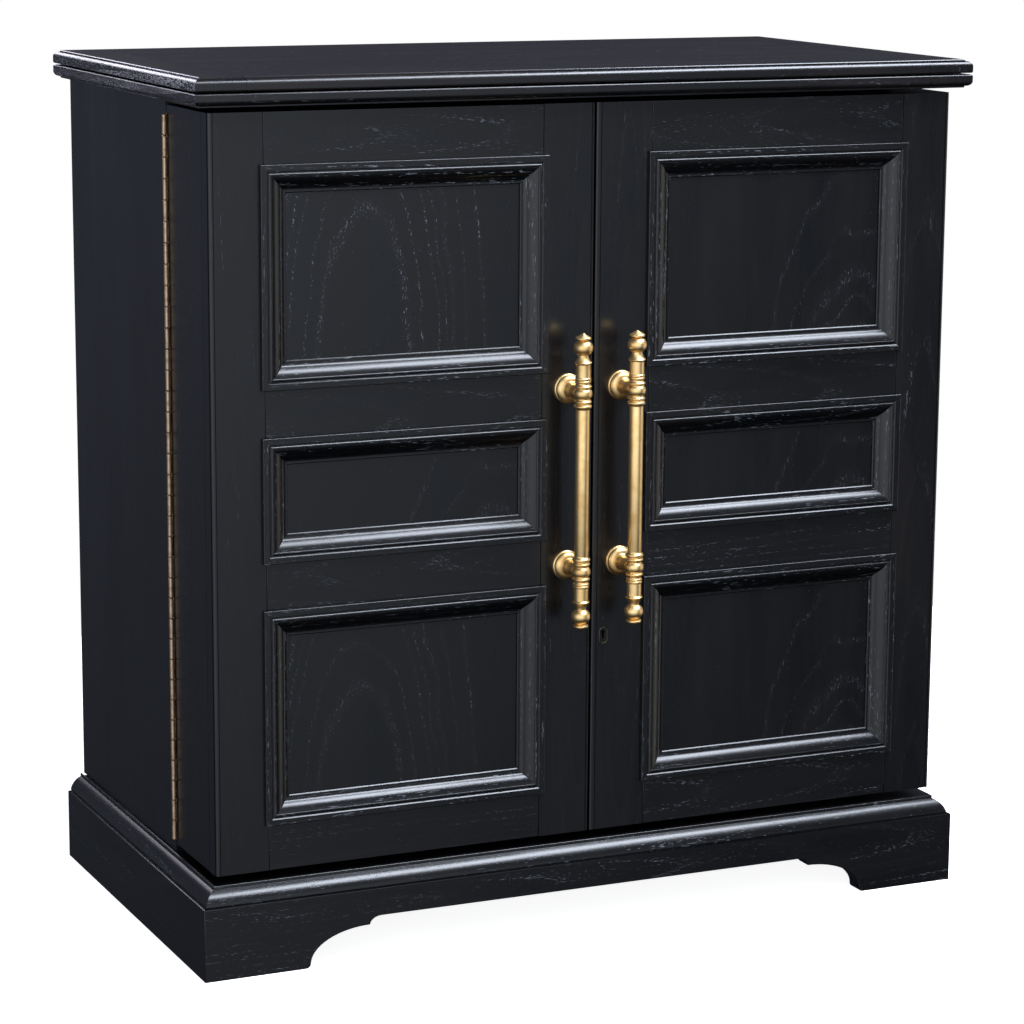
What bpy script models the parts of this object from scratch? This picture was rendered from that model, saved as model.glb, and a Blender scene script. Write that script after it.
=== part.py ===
"""Two-door cabinet with a folding top: carcase, box doors, plinth, turned pulls and lock.

World frame: metres, +Z up, the cabinet faces -Y and +X is its right-hand side as a person
in front of it sees it. The origin is on the floor under the centre of the whole cabinet.
"""
import math

import bmesh
import bpy
from mathutils import Matrix, Vector

MM = 0.001

# Clearance between two pieces that are glued, seated or face each other at rest.
SEAT = 0.3 * MM

# Carcase.
CASE_WIDTH = 985 * MM
CASE_SIDE_THICKNESS = 19 * MM
CASE_BACK_THICKNESS = 6 * MM
CASE_BACK_INSET = 4 * MM
CASE_BACK_FLOOR_GAP = 4 * MM
SHELF_THICKNESS = 18 * MM
SHELF_SETBACK = 12 * MM
SHELF_HEIGHT = 560 * MM

# Plinth, with bracket feet cut into its front board.
PLINTH_OVERHANG = 22.5 * MM
PLINTH_DEPTH = 555 * MM
PLINTH_HEIGHT = 90 * MM
PLINTH_THICKNESS = 25 * MM
DOOR_FACE_SETBACK = 20.5 * MM
FOOT_WIDTH = 128.5 * MM
FOOT_NOSE_WIDTH = 6.5 * MM
FOOT_NOSE_HEIGHT = 5 * MM
ARCH_SPAN = 77 * MM
ARCH_RISE = 40 * MM
STEP_SPAN = 15 * MM
STEP_RISE = 10 * MM
ARC_STEPS = 6

# Base moulding: an ovolo standing on the plinth board, around the deck.
MOULDING_SETBACK = 4 * MM
MOULDING_TOE = 2.5 * MM
OVOLO_DEPTH = 13.8 * MM
OVOLO_HEIGHT = 15.5 * MM
MOULDING_HEIGHT = 22 * MM
MOULDING_LEDGE = 1.7 * MM

# Doors: a framed front on a deep open box.
DOOR_FLOOR_GAP = 11 * MM
DOOR_HEIGHT = 906 * MM
DOOR_DEPTH = 146 * MM
DOOR_MEETING_GAP = 2.5 * MM
FRAME_THICKNESS = 22 * MM
STILE_WIDTH = 67 * MM
MEETING_BEAD_WIDTH = 7 * MM
RAIL_TOP = 65.5 * MM
RAIL_MIDDLE = 66 * MM
RAIL_BOTTOM = 61 * MM
SHORT_PANEL_SHARE = 140.5 * MM
PANEL_THICKNESS = 8 * MM
PANEL_RECESS = 7 * MM
CORNER_RADIUS = 4 * MM
QUIRK_WIDTH = 1.2 * MM
QUIRK_DEPTH = 1 * MM
BOX_SIDE_THICKNESS = 16 * MM
BOX_BOARD_THICKNESS = 12 * MM
BOTTLE_SHELF_HEIGHT = 540 * MM
BOTTLE_SHELF_LIP = 45 * MM

# Panel moulding: a raised ring that laps the frame and runs down to the panel.
RING_LAP = 5 * MM
RING_PROUD = 6 * MM
RING_BAND = 9.5 * MM
RING_QUIRK = 1.5 * MM
RING_BEAD = 3.2 * MM
RING_SLOPE = 16.5 * MM
RING_FILLET = 3.3 * MM
RING_FILLET_HEIGHT = 2.9 * MM

# Folding top: a fixed panel and a leaf of the same size hinged along the back edge.
TOP_CLEARANCE = 6.5 * MM
TOP_THICKNESS = 16.6 * MM
TOP_SIDE_OVERHANG = 20.5 * MM
TOP_FRONT_SETBACK = 1 * MM
TOP_DEPTH = 558.7 * MM
TOP_ARRIS = 4.5 * MM
TOP_STEP_HEIGHT = 2.2 * MM
TOP_STEP_INSET = 3.6 * MM

# Continuous hinges on the doors.
DOOR_HINGE_RADIUS = 3 * MM
DOOR_HINGE_PIN = 1.2 * MM
DOOR_HINGE_PITCH = 25.4 * MM
DOOR_HINGE_PLATE = 1 * MM
DOOR_HINGE_WIDTH = 15 * MM
DOOR_HINGE_RISE = 6 * MM
DOOR_HINGE_END = 8 * MM

# Continuous hinge of the folding top.
TOP_HINGE_RADIUS = 2 * MM
TOP_HINGE_PIN = 0.8 * MM
TOP_HINGE_PITCH = 49 * MM
TOP_HINGE_MARGIN = 40 * MM
TOP_HINGE_PLATE = 0.5 * MM
TOP_HINGE_WIDTH = 20 * MM
HINGE_SIDES = 8
HINGE_RUNNING_CLEARANCE = 0.08 * MM

# Turned pulls.
PULL_CENTRE_HEIGHT = 575 * MM
PULL_POST_SPACING = 219 * MM
PULL_OFFSET = 36 * MM
PULL_STANDOFF = 44 * MM
PULL_LARGEST_RADIUS = 11.8 * MM
PULL_POST_BEAD_RADIUS = 11.5 * MM
PULL_GRIP_RADIUS = 8.1 * MM
PULL_SIDES = 12
ROSETTE_RADIUS = 18.4 * MM

# Lock.
KEYHOLE_HEIGHT = 372 * MM
KEYHOLE_BACKSET = 16 * MM
KEYHOLE_RADIUS = 2.3 * MM
KEYHOLE_SLOT_WIDTH = 2.4 * MM
KEYHOLE_SLOT_LENGTH = 8 * MM
ESCUTCHEON_WIDTH = 11 * MM
ESCUTCHEON_HEIGHT = 19.8 * MM
ESCUTCHEON_RIM = 2.2 * MM
ESCUTCHEON_THICKNESS = 1.2 * MM
LOCK_CASE_WIDTH = 34 * MM
LOCK_CASE_HEIGHT = 56 * MM
LOCK_CASE_DEPTH = 14 * MM
BOLT_HEIGHT = 18 * MM
BOLT_THICKNESS = 6 * MM
BOLT_LENGTH = 24 * MM
BOLT_CLEARANCE = 0.4 * MM

# Places that follow from the sizes above.
PLINTH_WIDTH = CASE_WIDTH + 2 * PLINTH_OVERHANG
TOP_WIDTH = CASE_WIDTH + 2 * TOP_SIDE_OVERHANG
FRONT_MOST = DOOR_FACE_SETBACK - PULL_STANDOFF - PULL_LARGEST_RADIUS
BACK_MOST = max(PLINTH_DEPTH, TOP_FRONT_SETBACK + TOP_DEPTH + SEAT + TOP_HINGE_RADIUS)
PLINTH_FRONT_Y = -(FRONT_MOST + BACK_MOST) / 2
PLINTH_BACK_Y = PLINTH_FRONT_Y + PLINTH_DEPTH
DOOR_FACE_Y = PLINTH_FRONT_Y + DOOR_FACE_SETBACK
HINGE_Y = DOOR_FACE_Y + DOOR_DEPTH
CASE_HALF = CASE_WIDTH / 2
DECK_TOP = PLINTH_HEIGHT + MOULDING_HEIGHT
DOOR_BOTTOM = DECK_TOP + DOOR_FLOOR_GAP
DOOR_TOP = DOOR_BOTTOM + DOOR_HEIGHT
TOP_UNDERSIDE = DOOR_TOP + TOP_CLEARANCE
LEAF_GAP = 2 * TOP_HINGE_PLATE + 3 * SEAT
TOP_FRONT_Y = PLINTH_FRONT_Y + TOP_FRONT_SETBACK
TOP_HINGE_Y = TOP_FRONT_Y + TOP_DEPTH + SEAT
TOP_HINGE_Z = TOP_UNDERSIDE + TOP_THICKNESS + LEAF_GAP / 2
JOINT_HALF_GAP = DOOR_HINGE_PLATE + 1.5 * SEAT
# The knuckles stand just clear of the two arrises that flank the joint.
HINGE_STANDOFF = math.sqrt((DOOR_HINGE_RADIUS + SEAT) ** 2 - JOINT_HALF_GAP**2)
HINGE_X = CASE_HALF + HINGE_STANDOFF
CASE_FRONT_Y = HINGE_Y + JOINT_HALF_GAP
DOOR_RIM_Y = HINGE_Y - JOINT_HALF_GAP
TALL_PANEL_SHARE = (DOOR_HEIGHT - RAIL_TOP - 2 * RAIL_MIDDLE - RAIL_BOTTOM - SHORT_PANEL_SHARE) / 2
BOX_FRONT_Y = DOOR_FACE_Y + FRAME_THICKNESS + SEAT
CASE_BACK_Y = PLINTH_BACK_Y - CASE_BACK_INSET - CASE_BACK_THICKNESS

# Finishes: base colour, roughness, metallic.
EBONISED = ((0.010, 0.012, 0.016), 0.38, 0.0)
EBONISED_PANEL = ((0.009, 0.011, 0.015), 0.34, 0.0)
INTERIOR = ((0.014, 0.015, 0.018), 0.5, 0.0)
SATIN_BRASS = ((0.78, 0.55, 0.26), 0.3, 1.0)
AGED_BRASS = ((0.42, 0.28, 0.14), 0.42, 1.0)
DARK_STEEL = ((0.03, 0.03, 0.035), 0.45, 1.0)


def clear_scene():
    """Remove every object, so that the script starts from an empty scene."""
    for item in list(bpy.data.objects):
        bpy.data.objects.remove(item, do_unlink=True)


def add_node(name, mesh_source, finish, smooth_angle=None):
    """Turn a bmesh into a named object with its own material."""
    mesh = bpy.data.meshes.new(name)
    bmesh.ops.recalc_face_normals(mesh_source, faces=mesh_source.faces)
    mesh_source.to_mesh(mesh)
    mesh_source.free()
    if smooth_angle is not None:
        mesh.shade_smooth()
        mesh.set_sharp_from_angle(angle=math.radians(smooth_angle))
    colour, roughness, metallic = finish
    material = bpy.data.materials.new(name + "_finish")
    material.use_nodes = True
    shader = material.node_tree.nodes["Principled BSDF"]
    shader.inputs["Base Color"].default_value = (*colour, 1.0)
    shader.inputs["Roughness"].default_value = roughness
    shader.inputs["Metallic"].default_value = metallic
    mesh.materials.append(material)
    node = bpy.data.objects.new(name, mesh)
    bpy.context.scene.collection.objects.link(node)
    return node


def set_origin(node, point):
    """Move an object's origin to a world point without moving its shape."""
    offset = Vector(point)
    node.data.transform(Matrix.Translation(-offset))
    node.location = offset


def board_mesh(low, high):
    """A rectangular board between two opposite corners, as a bmesh."""
    mesh = bmesh.new()
    size = Vector(high) - Vector(low)
    centre = (Vector(high) + Vector(low)) / 2
    place = Matrix.Translation(centre) @ Matrix.Diagonal((*size, 1.0))
    bmesh.ops.create_cube(mesh, size=1.0, matrix=place)
    return mesh


def board(name, low, high, finish):
    """A rectangular board between two opposite corners."""
    return add_node(name, board_mesh(low, high), finish)


def prism_mesh(points, direction):
    """Extrude a closed outline of 3-D points along a vector, as a bmesh."""
    mesh = bmesh.new()
    corners = [mesh.verts.new(point) for point in points]
    face = mesh.faces.new(corners)
    grown = bmesh.ops.extrude_face_region(mesh, geom=[face])
    moved = [item for item in grown["geom"] if isinstance(item, bmesh.types.BMVert)]
    bmesh.ops.translate(mesh, verts=moved, vec=direction)
    bmesh.ops.triangulate(mesh, faces=mesh.faces)
    return mesh


def swept_mesh(stations, section, rise, closed):
    """Sweep a section round mitred stations.

    Each station is a corner point and an inward vector whose parts are one setback each.
    A section point (inset, height) lands at corner + inset * inward + height * rise.
    """
    mesh = bmesh.new()
    loops = []
    for corner, inward in stations:
        base = Vector(corner)
        step = Vector(inward)
        loop = [base + step * inset + Vector(rise) * height for inset, height in section]
        loops.append([mesh.verts.new(place) for place in loop])
    pairs = list(zip(loops, loops[1:]))
    if closed:
        pairs.append((loops[-1], loops[0]))
    count = len(section)
    for first, second in pairs:
        for index in range(count):
            after = (index + 1) % count
            mesh.faces.new((first[index], first[after], second[after], second[index]))
    if not closed:
        mesh.faces.new(loops[0])
        mesh.faces.new(loops[-1])
    bmesh.ops.triangulate(mesh, faces=mesh.faces)
    return mesh


def stacked_mesh(rings):
    """A solid built of rectangles (half width, front y, back y, z), one above the other."""
    mesh = bmesh.new()
    loops = []
    for half, front, back, height in rings:
        corners = ((-half, front), (half, front), (half, back), (-half, back))
        loops.append([mesh.verts.new((x, y, height)) for x, y in corners])
    for lower, upper in zip(loops, loops[1:]):
        for index in range(4):
            after = (index + 1) % 4
            mesh.faces.new((lower[index], lower[after], upper[after], upper[index]))
    mesh.faces.new(loops[0])
    mesh.faces.new(loops[-1])
    return mesh


def turned_mesh(profile, sides):
    """Spin a profile of (radius, height) pairs, which starts and ends on the Z axis, about Z."""
    mesh = bmesh.new()
    points = [mesh.verts.new((0, -radius, height)) for radius, height in profile]
    edges = [mesh.edges.new(pair) for pair in zip(points, points[1:])]
    bmesh.ops.spin(
        mesh, geom=points + edges, cent=(0, 0, 0), axis=(0, 0, 1),
        angle=2 * math.pi, steps=sides, use_merge=True,
    )
    bmesh.ops.remove_doubles(mesh, verts=mesh.verts, dist=0.001 * MM)
    return mesh


def arc(centre, radii, start, end, steps):
    """Points on an elliptical arc, angles in degrees, both ends included."""
    points = []
    for index in range(steps + 1):
        angle = math.radians(start + (end - start) * index / steps)
        points.append((centre[0] + radii[0] * math.cos(angle), centre[1] + radii[1] * math.sin(angle)))
    return points


def subtract(node, cutter_mesh, label):
    """Cut a hole in a node with a hidden cutter."""
    mesh = bpy.data.meshes.new(label)
    bmesh.ops.recalc_face_normals(cutter_mesh, faces=cutter_mesh.faces)
    cutter_mesh.to_mesh(mesh)
    cutter_mesh.free()
    cutter = bpy.data.objects.new(label, mesh)
    bpy.context.scene.collection.objects.link(cutter)
    cutter.hide_render = True
    cutter.display_type = "WIRE"
    modifier = node.modifiers.new(label, "BOOLEAN")
    modifier.operation = "DIFFERENCE"
    modifier.solver = "EXACT"
    modifier.object = cutter


def join_bodies(node, extra_mesh, label):
    """Unite a further solid with a node, through a hidden guide object."""
    subtract(node, extra_mesh, label)
    node.modifiers[label].operation = "UNION"


# ---------------------------------------------------------------- plinth and carcase

def bracket_outline():
    """Front board outline (x, z): flat feet, quarter arches and a raised middle."""
    half = PLINTH_WIDTH / 2
    toe = half - FOOT_WIDTH
    heel = toe - FOOT_NOSE_WIDTH
    crown = heel - ARCH_SPAN
    right = [(half, 0.0)]
    right += arc((toe, FOOT_NOSE_HEIGHT), (FOOT_NOSE_WIDTH, FOOT_NOSE_HEIGHT), 270, 180, ARC_STEPS // 2)
    right += arc((crown, FOOT_NOSE_HEIGHT), (ARCH_SPAN, ARCH_RISE), 0, 90, ARC_STEPS)[1:]
    right += arc(
        (crown - STEP_SPAN, FOOT_NOSE_HEIGHT + ARCH_RISE), (STEP_SPAN, STEP_RISE), 0, 90, ARC_STEPS // 2
    )[1:]
    left = [(-x, z) for x, z in reversed(right)]
    return right + left + [(-half, PLINTH_HEIGHT), (half, PLINTH_HEIGHT)]


def build_plinth():
    """Front board with bracket feet and two side boards, mitred at the front corners."""
    half = PLINTH_WIDTH / 2
    outline = [(x, PLINTH_FRONT_Y, z) for x, z in bracket_outline()]
    front = prism_mesh(outline, (0, PLINTH_THICKNESS, 0))
    for corner in front.verts:
        at_end = abs(abs(corner.co.x) - half) < SEAT
        behind = corner.co.y > PLINTH_FRONT_Y + SEAT
        if at_end and behind:
            corner.co.x -= math.copysign(PLINTH_THICKNESS, corner.co.x)
    add_node("plinth_front", front, EBONISED)
    mitre = PLINTH_FRONT_Y + SEAT * 1.5
    for name, side in (("plinth_side_left", -1), ("plinth_side_right", 1)):
        plan = [
            (side * half, mitre),
            (side * half, PLINTH_BACK_Y),
            (side * (half - PLINTH_THICKNESS), PLINTH_BACK_Y),
            (side * (half - PLINTH_THICKNESS), mitre + PLINTH_THICKNESS),
        ]
        points = [(x, y, 0.0) for x, y in plan]
        add_node(name, prism_mesh(points, (0, 0, PLINTH_HEIGHT)), EBONISED)


def base_moulding_section():
    """Ovolo section as (inset from the plinth face, height above the plinth)."""
    crest = MOULDING_SETBACK + OVOLO_DEPTH
    section = [(crest + MOULDING_LEDGE, SEAT), (MOULDING_SETBACK, SEAT)]
    section += arc((crest, MOULDING_TOE), (OVOLO_DEPTH, OVOLO_HEIGHT), 180, 90, ARC_STEPS)
    section += [(crest, MOULDING_HEIGHT), (crest + MOULDING_LEDGE, MOULDING_HEIGHT)]
    return section


def build_base():
    """The moulding round three sides and the deck that it frames."""
    half = PLINTH_WIDTH / 2
    stations = [
        ((-half, PLINTH_BACK_Y, PLINTH_HEIGHT), (1, 0, 0)),
        ((-half, PLINTH_FRONT_Y, PLINTH_HEIGHT), (1, 1, 0)),
        ((half, PLINTH_FRONT_Y, PLINTH_HEIGHT), (-1, 1, 0)),
        ((half, PLINTH_BACK_Y, PLINTH_HEIGHT), (-1, 0, 0)),
    ]
    moulding = swept_mesh(stations, base_moulding_section(), (0, 0, 1), closed=False)
    add_node("base_moulding", moulding, EBONISED, smooth_angle=35)
    inset = MOULDING_SETBACK + OVOLO_DEPTH + MOULDING_LEDGE + SEAT
    board(
        "base_deck",
        (-half + inset, PLINTH_FRONT_Y + inset, PLINTH_HEIGHT + SEAT),
        (half - inset, CASE_BACK_Y - SEAT, DECK_TOP),
        EBONISED,
    )


def build_case():
    """Fixed case behind the doors: two sides, a back and one shelf."""
    inner = CASE_HALF - CASE_SIDE_THICKNESS
    for name, side in (("case_side_left", -1), ("case_side_right", 1)):
        near, far = sorted((side * inner, side * CASE_HALF))
        board(
            name,
            (near, CASE_FRONT_Y, DECK_TOP + SEAT),
            (far, PLINTH_BACK_Y, TOP_UNDERSIDE - SEAT),
            EBONISED,
        )
    board(
        "case_back",
        (-inner + SEAT, CASE_BACK_Y, CASE_BACK_FLOOR_GAP),
        (inner - SEAT, CASE_BACK_Y + CASE_BACK_THICKNESS, TOP_UNDERSIDE - SEAT),
        INTERIOR,
    )
    board(
        "case_shelf",
        (-inner + SEAT, CASE_FRONT_Y + SHELF_SETBACK, SHELF_HEIGHT),
        (inner - SEAT, CASE_BACK_Y - SEAT, SHELF_HEIGHT + SHELF_THICKNESS),
        INTERIOR,
    )


# ---------------------------------------------------------------- folding top

def top_rings(outer_z, inner_z):
    """Rectangles of one top panel, from its stepped outer face to its plain inner face."""
    sign = 1 if inner_z > outer_z else -1
    step = outer_z + sign * TOP_STEP_HEIGHT
    arris = TOP_ARRIS * 0.5
    levels = [(TOP_STEP_INSET, outer_z), (TOP_STEP_INSET, step)]
    for inset, height in arc((arris, 0.0), (arris, arris), 90, 180, ARC_STEPS // 2)[1:]:
        levels.append((inset, step + sign * (arris - height)))
    for inset, height in arc((TOP_ARRIS, 0.0), (TOP_ARRIS, TOP_ARRIS), 180, 90, ARC_STEPS // 2):
        levels.append((inset, inner_z - sign * (TOP_ARRIS - height)))
    half = TOP_WIDTH / 2
    back = TOP_FRONT_Y + TOP_DEPTH
    rings = [(half - inset, TOP_FRONT_Y + inset, back - inset, z) for inset, z in levels]
    return rings if sign > 0 else rings[::-1]


def build_top():
    """Fixed panel, and the leaf that folds over backwards about the back edge."""
    fixed_top = TOP_UNDERSIDE + TOP_THICKNESS
    fixed = stacked_mesh(top_rings(TOP_UNDERSIDE, fixed_top))
    add_node("top_fixed_panel", fixed, EBONISED, smooth_angle=35)
    leaf_bottom = fixed_top + LEAF_GAP
    leaf = stacked_mesh(top_rings(leaf_bottom + TOP_THICKNESS, leaf_bottom))
    leaf_node = add_node("top_leaf_panel", leaf, EBONISED, smooth_angle=35)
    set_origin(leaf_node, (0, TOP_HINGE_Y, TOP_HINGE_Z))


# ---------------------------------------------------------------- continuous hinges

def comb_outline(pitch, knuckles, inner, outer, tab_inner, own):
    """Plate outline (across, along) with a tab at every second knuckle, own = 0 or 1."""
    length = pitch * knuckles
    outline = [(outer, 0.0), (outer, length), (inner, length)]
    for index in reversed(range(knuckles)):
        if index % 2 == own:
            start = index * pitch + SEAT / 2
            end = (index + 1) * pitch - SEAT / 2
            outline += [(inner, end), (tab_inner, end), (tab_inner, start), (inner, start)]
    outline.append((inner, 0.0))
    clean = []
    for point in outline:
        if not clean or (Vector(point) - Vector(clean[-1])).length > SEAT / 10:
            clean.append(point)
    return clean


def pin_shaft(pitch, knuckles, radius, pin):
    """Solid knuckles and the pin between them, turned in one profile."""
    profile = [(0.0, SEAT / 2)]
    for index in range(0, knuckles, 2):
        start = index * pitch + SEAT / 2
        end = (index + 1) * pitch - SEAT / 2
        profile += [(radius, start), (radius, end)]
        if index + 2 < knuckles:
            profile += [(pin, end), (pin, end + pitch + SEAT)]
    profile.append((0.0, knuckles * pitch - SEAT / 2))
    return turned_mesh(profile, HINGE_SIDES)


def bored_knuckle(start, end, radius, bore):
    """One hollow knuckle about Z, as a swept ring."""
    section = [(radius, start), (radius, end), (bore, end), (bore, start)]
    mesh = bmesh.new()
    points = [mesh.verts.new((0, -r, z)) for r, z in section]
    edges = [mesh.edges.new((points[i], points[(i + 1) % 4])) for i in range(4)]
    bmesh.ops.spin(
        mesh, geom=points + edges, cent=(0, 0, 0), axis=(0, 0, 1),
        angle=2 * math.pi, steps=HINGE_SIDES, use_merge=True,
    )
    bmesh.ops.remove_doubles(mesh, verts=mesh.verts, dist=0.001 * MM)
    return mesh


def hinge_leaves(sizes, place, names, finish):
    """Two leaves of a continuous hinge.

    Local frame: the pin runs along +Z from the origin, both plates lie towards +X, and the
    fixed plate is on the +Y side of the mid plane. place takes it to the world.
    """
    pitch, knuckles, radius, pin, plate, width, wall = sizes
    bore = (pin + HINGE_RUNNING_CLEARANCE) / math.cos(math.pi / HINGE_SIDES)
    clear = radius + SEAT
    fixed_name, moving_name = names
    plates = []
    for own, side in ((0, 1), (1, -1)):
        reach = pin * 0.5 if own == 0 else (bore + radius) / 2
        outline = comb_outline(pitch, knuckles, clear, wall + width, reach, own)
        near = side * SEAT / 2
        points = [(across, near, along) for across, along in outline]
        plates.append(prism_mesh(points, (0, side * plate, 0)))
    shaft = pin_shaft(pitch, knuckles, radius, pin)
    sleeves = bmesh.new()
    for index in range(1, knuckles, 2):
        one = bored_knuckle(index * pitch + SEAT / 2, (index + 1) * pitch - SEAT / 2, radius, bore)
        holder = bpy.data.meshes.new("sleeve")
        bmesh.ops.recalc_face_normals(one, faces=one.faces)
        one.to_mesh(holder)
        one.free()
        sleeves.from_mesh(holder)
        bpy.data.meshes.remove(holder)
    nodes = []
    for name, plate_mesh, knuckle_mesh in (
        (fixed_name, plates[0], shaft), (moving_name, plates[1], sleeves),
    ):
        bmesh.ops.transform(plate_mesh, matrix=place, verts=plate_mesh.verts)
        bmesh.ops.transform(knuckle_mesh, matrix=place, verts=knuckle_mesh.verts)
        node = add_node(name, plate_mesh, finish, smooth_angle=35)
        join_bodies(node, knuckle_mesh, name + "_knuckles")
        nodes.append(node)
    return nodes


def odd_count(length, pitch):
    """Most knuckles of one pitch that fit a length, an odd number so that both ends match."""
    count = int(length / pitch + SEAT)
    return count if count % 2 else count - 1


def build_hinges():
    """Door hinges on the outside of the case and the hinge in the groove of the top."""
    bottom = DOOR_BOTTOM + DOOR_HINGE_RISE
    knuckles = odd_count(DOOR_HEIGHT - DOOR_HINGE_RISE - DOOR_HINGE_END, DOOR_HINGE_PITCH)
    sizes = (
        DOOR_HINGE_PITCH, knuckles, DOOR_HINGE_RADIUS, DOOR_HINGE_PIN,
        DOOR_HINGE_PLATE, DOOR_HINGE_WIDTH, HINGE_STANDOFF,
    )
    for side, label in ((-1, "left"), (1, "right")):
        place = Matrix.Translation((side * HINGE_X, HINGE_Y, bottom)) @ Matrix.Diagonal((-side, 1, 1, 1))
        names = (label + "_hinge_case_leaf", label + "_door_hinge_leaf")
        hinge_leaves(sizes, place, names, AGED_BRASS)
    knuckles = odd_count(TOP_WIDTH - 2 * TOP_HINGE_MARGIN, TOP_HINGE_PITCH)
    length = TOP_HINGE_PITCH * knuckles
    sizes = (
        TOP_HINGE_PITCH, knuckles, TOP_HINGE_RADIUS, TOP_HINGE_PIN,
        TOP_HINGE_PLATE, TOP_HINGE_WIDTH, SEAT,
    )
    # Local +Z runs along world +X, local +X along world -Y and local +Y along world -Z, so
    # the fixed plate is the lower one.
    turn = Matrix(((0, 0, 1, 0), (-1, 0, 0, 0), (0, -1, 0, 0), (0, 0, 0, 1)))
    place = Matrix.Translation((-length / 2, TOP_HINGE_Y, TOP_HINGE_Z)) @ turn
    hinge_leaves(sizes, place, ("top_hinge_fixed_leaf", "top_hinge_moving_leaf"), DARK_STEEL)


# ---------------------------------------------------------------- doors

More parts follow.
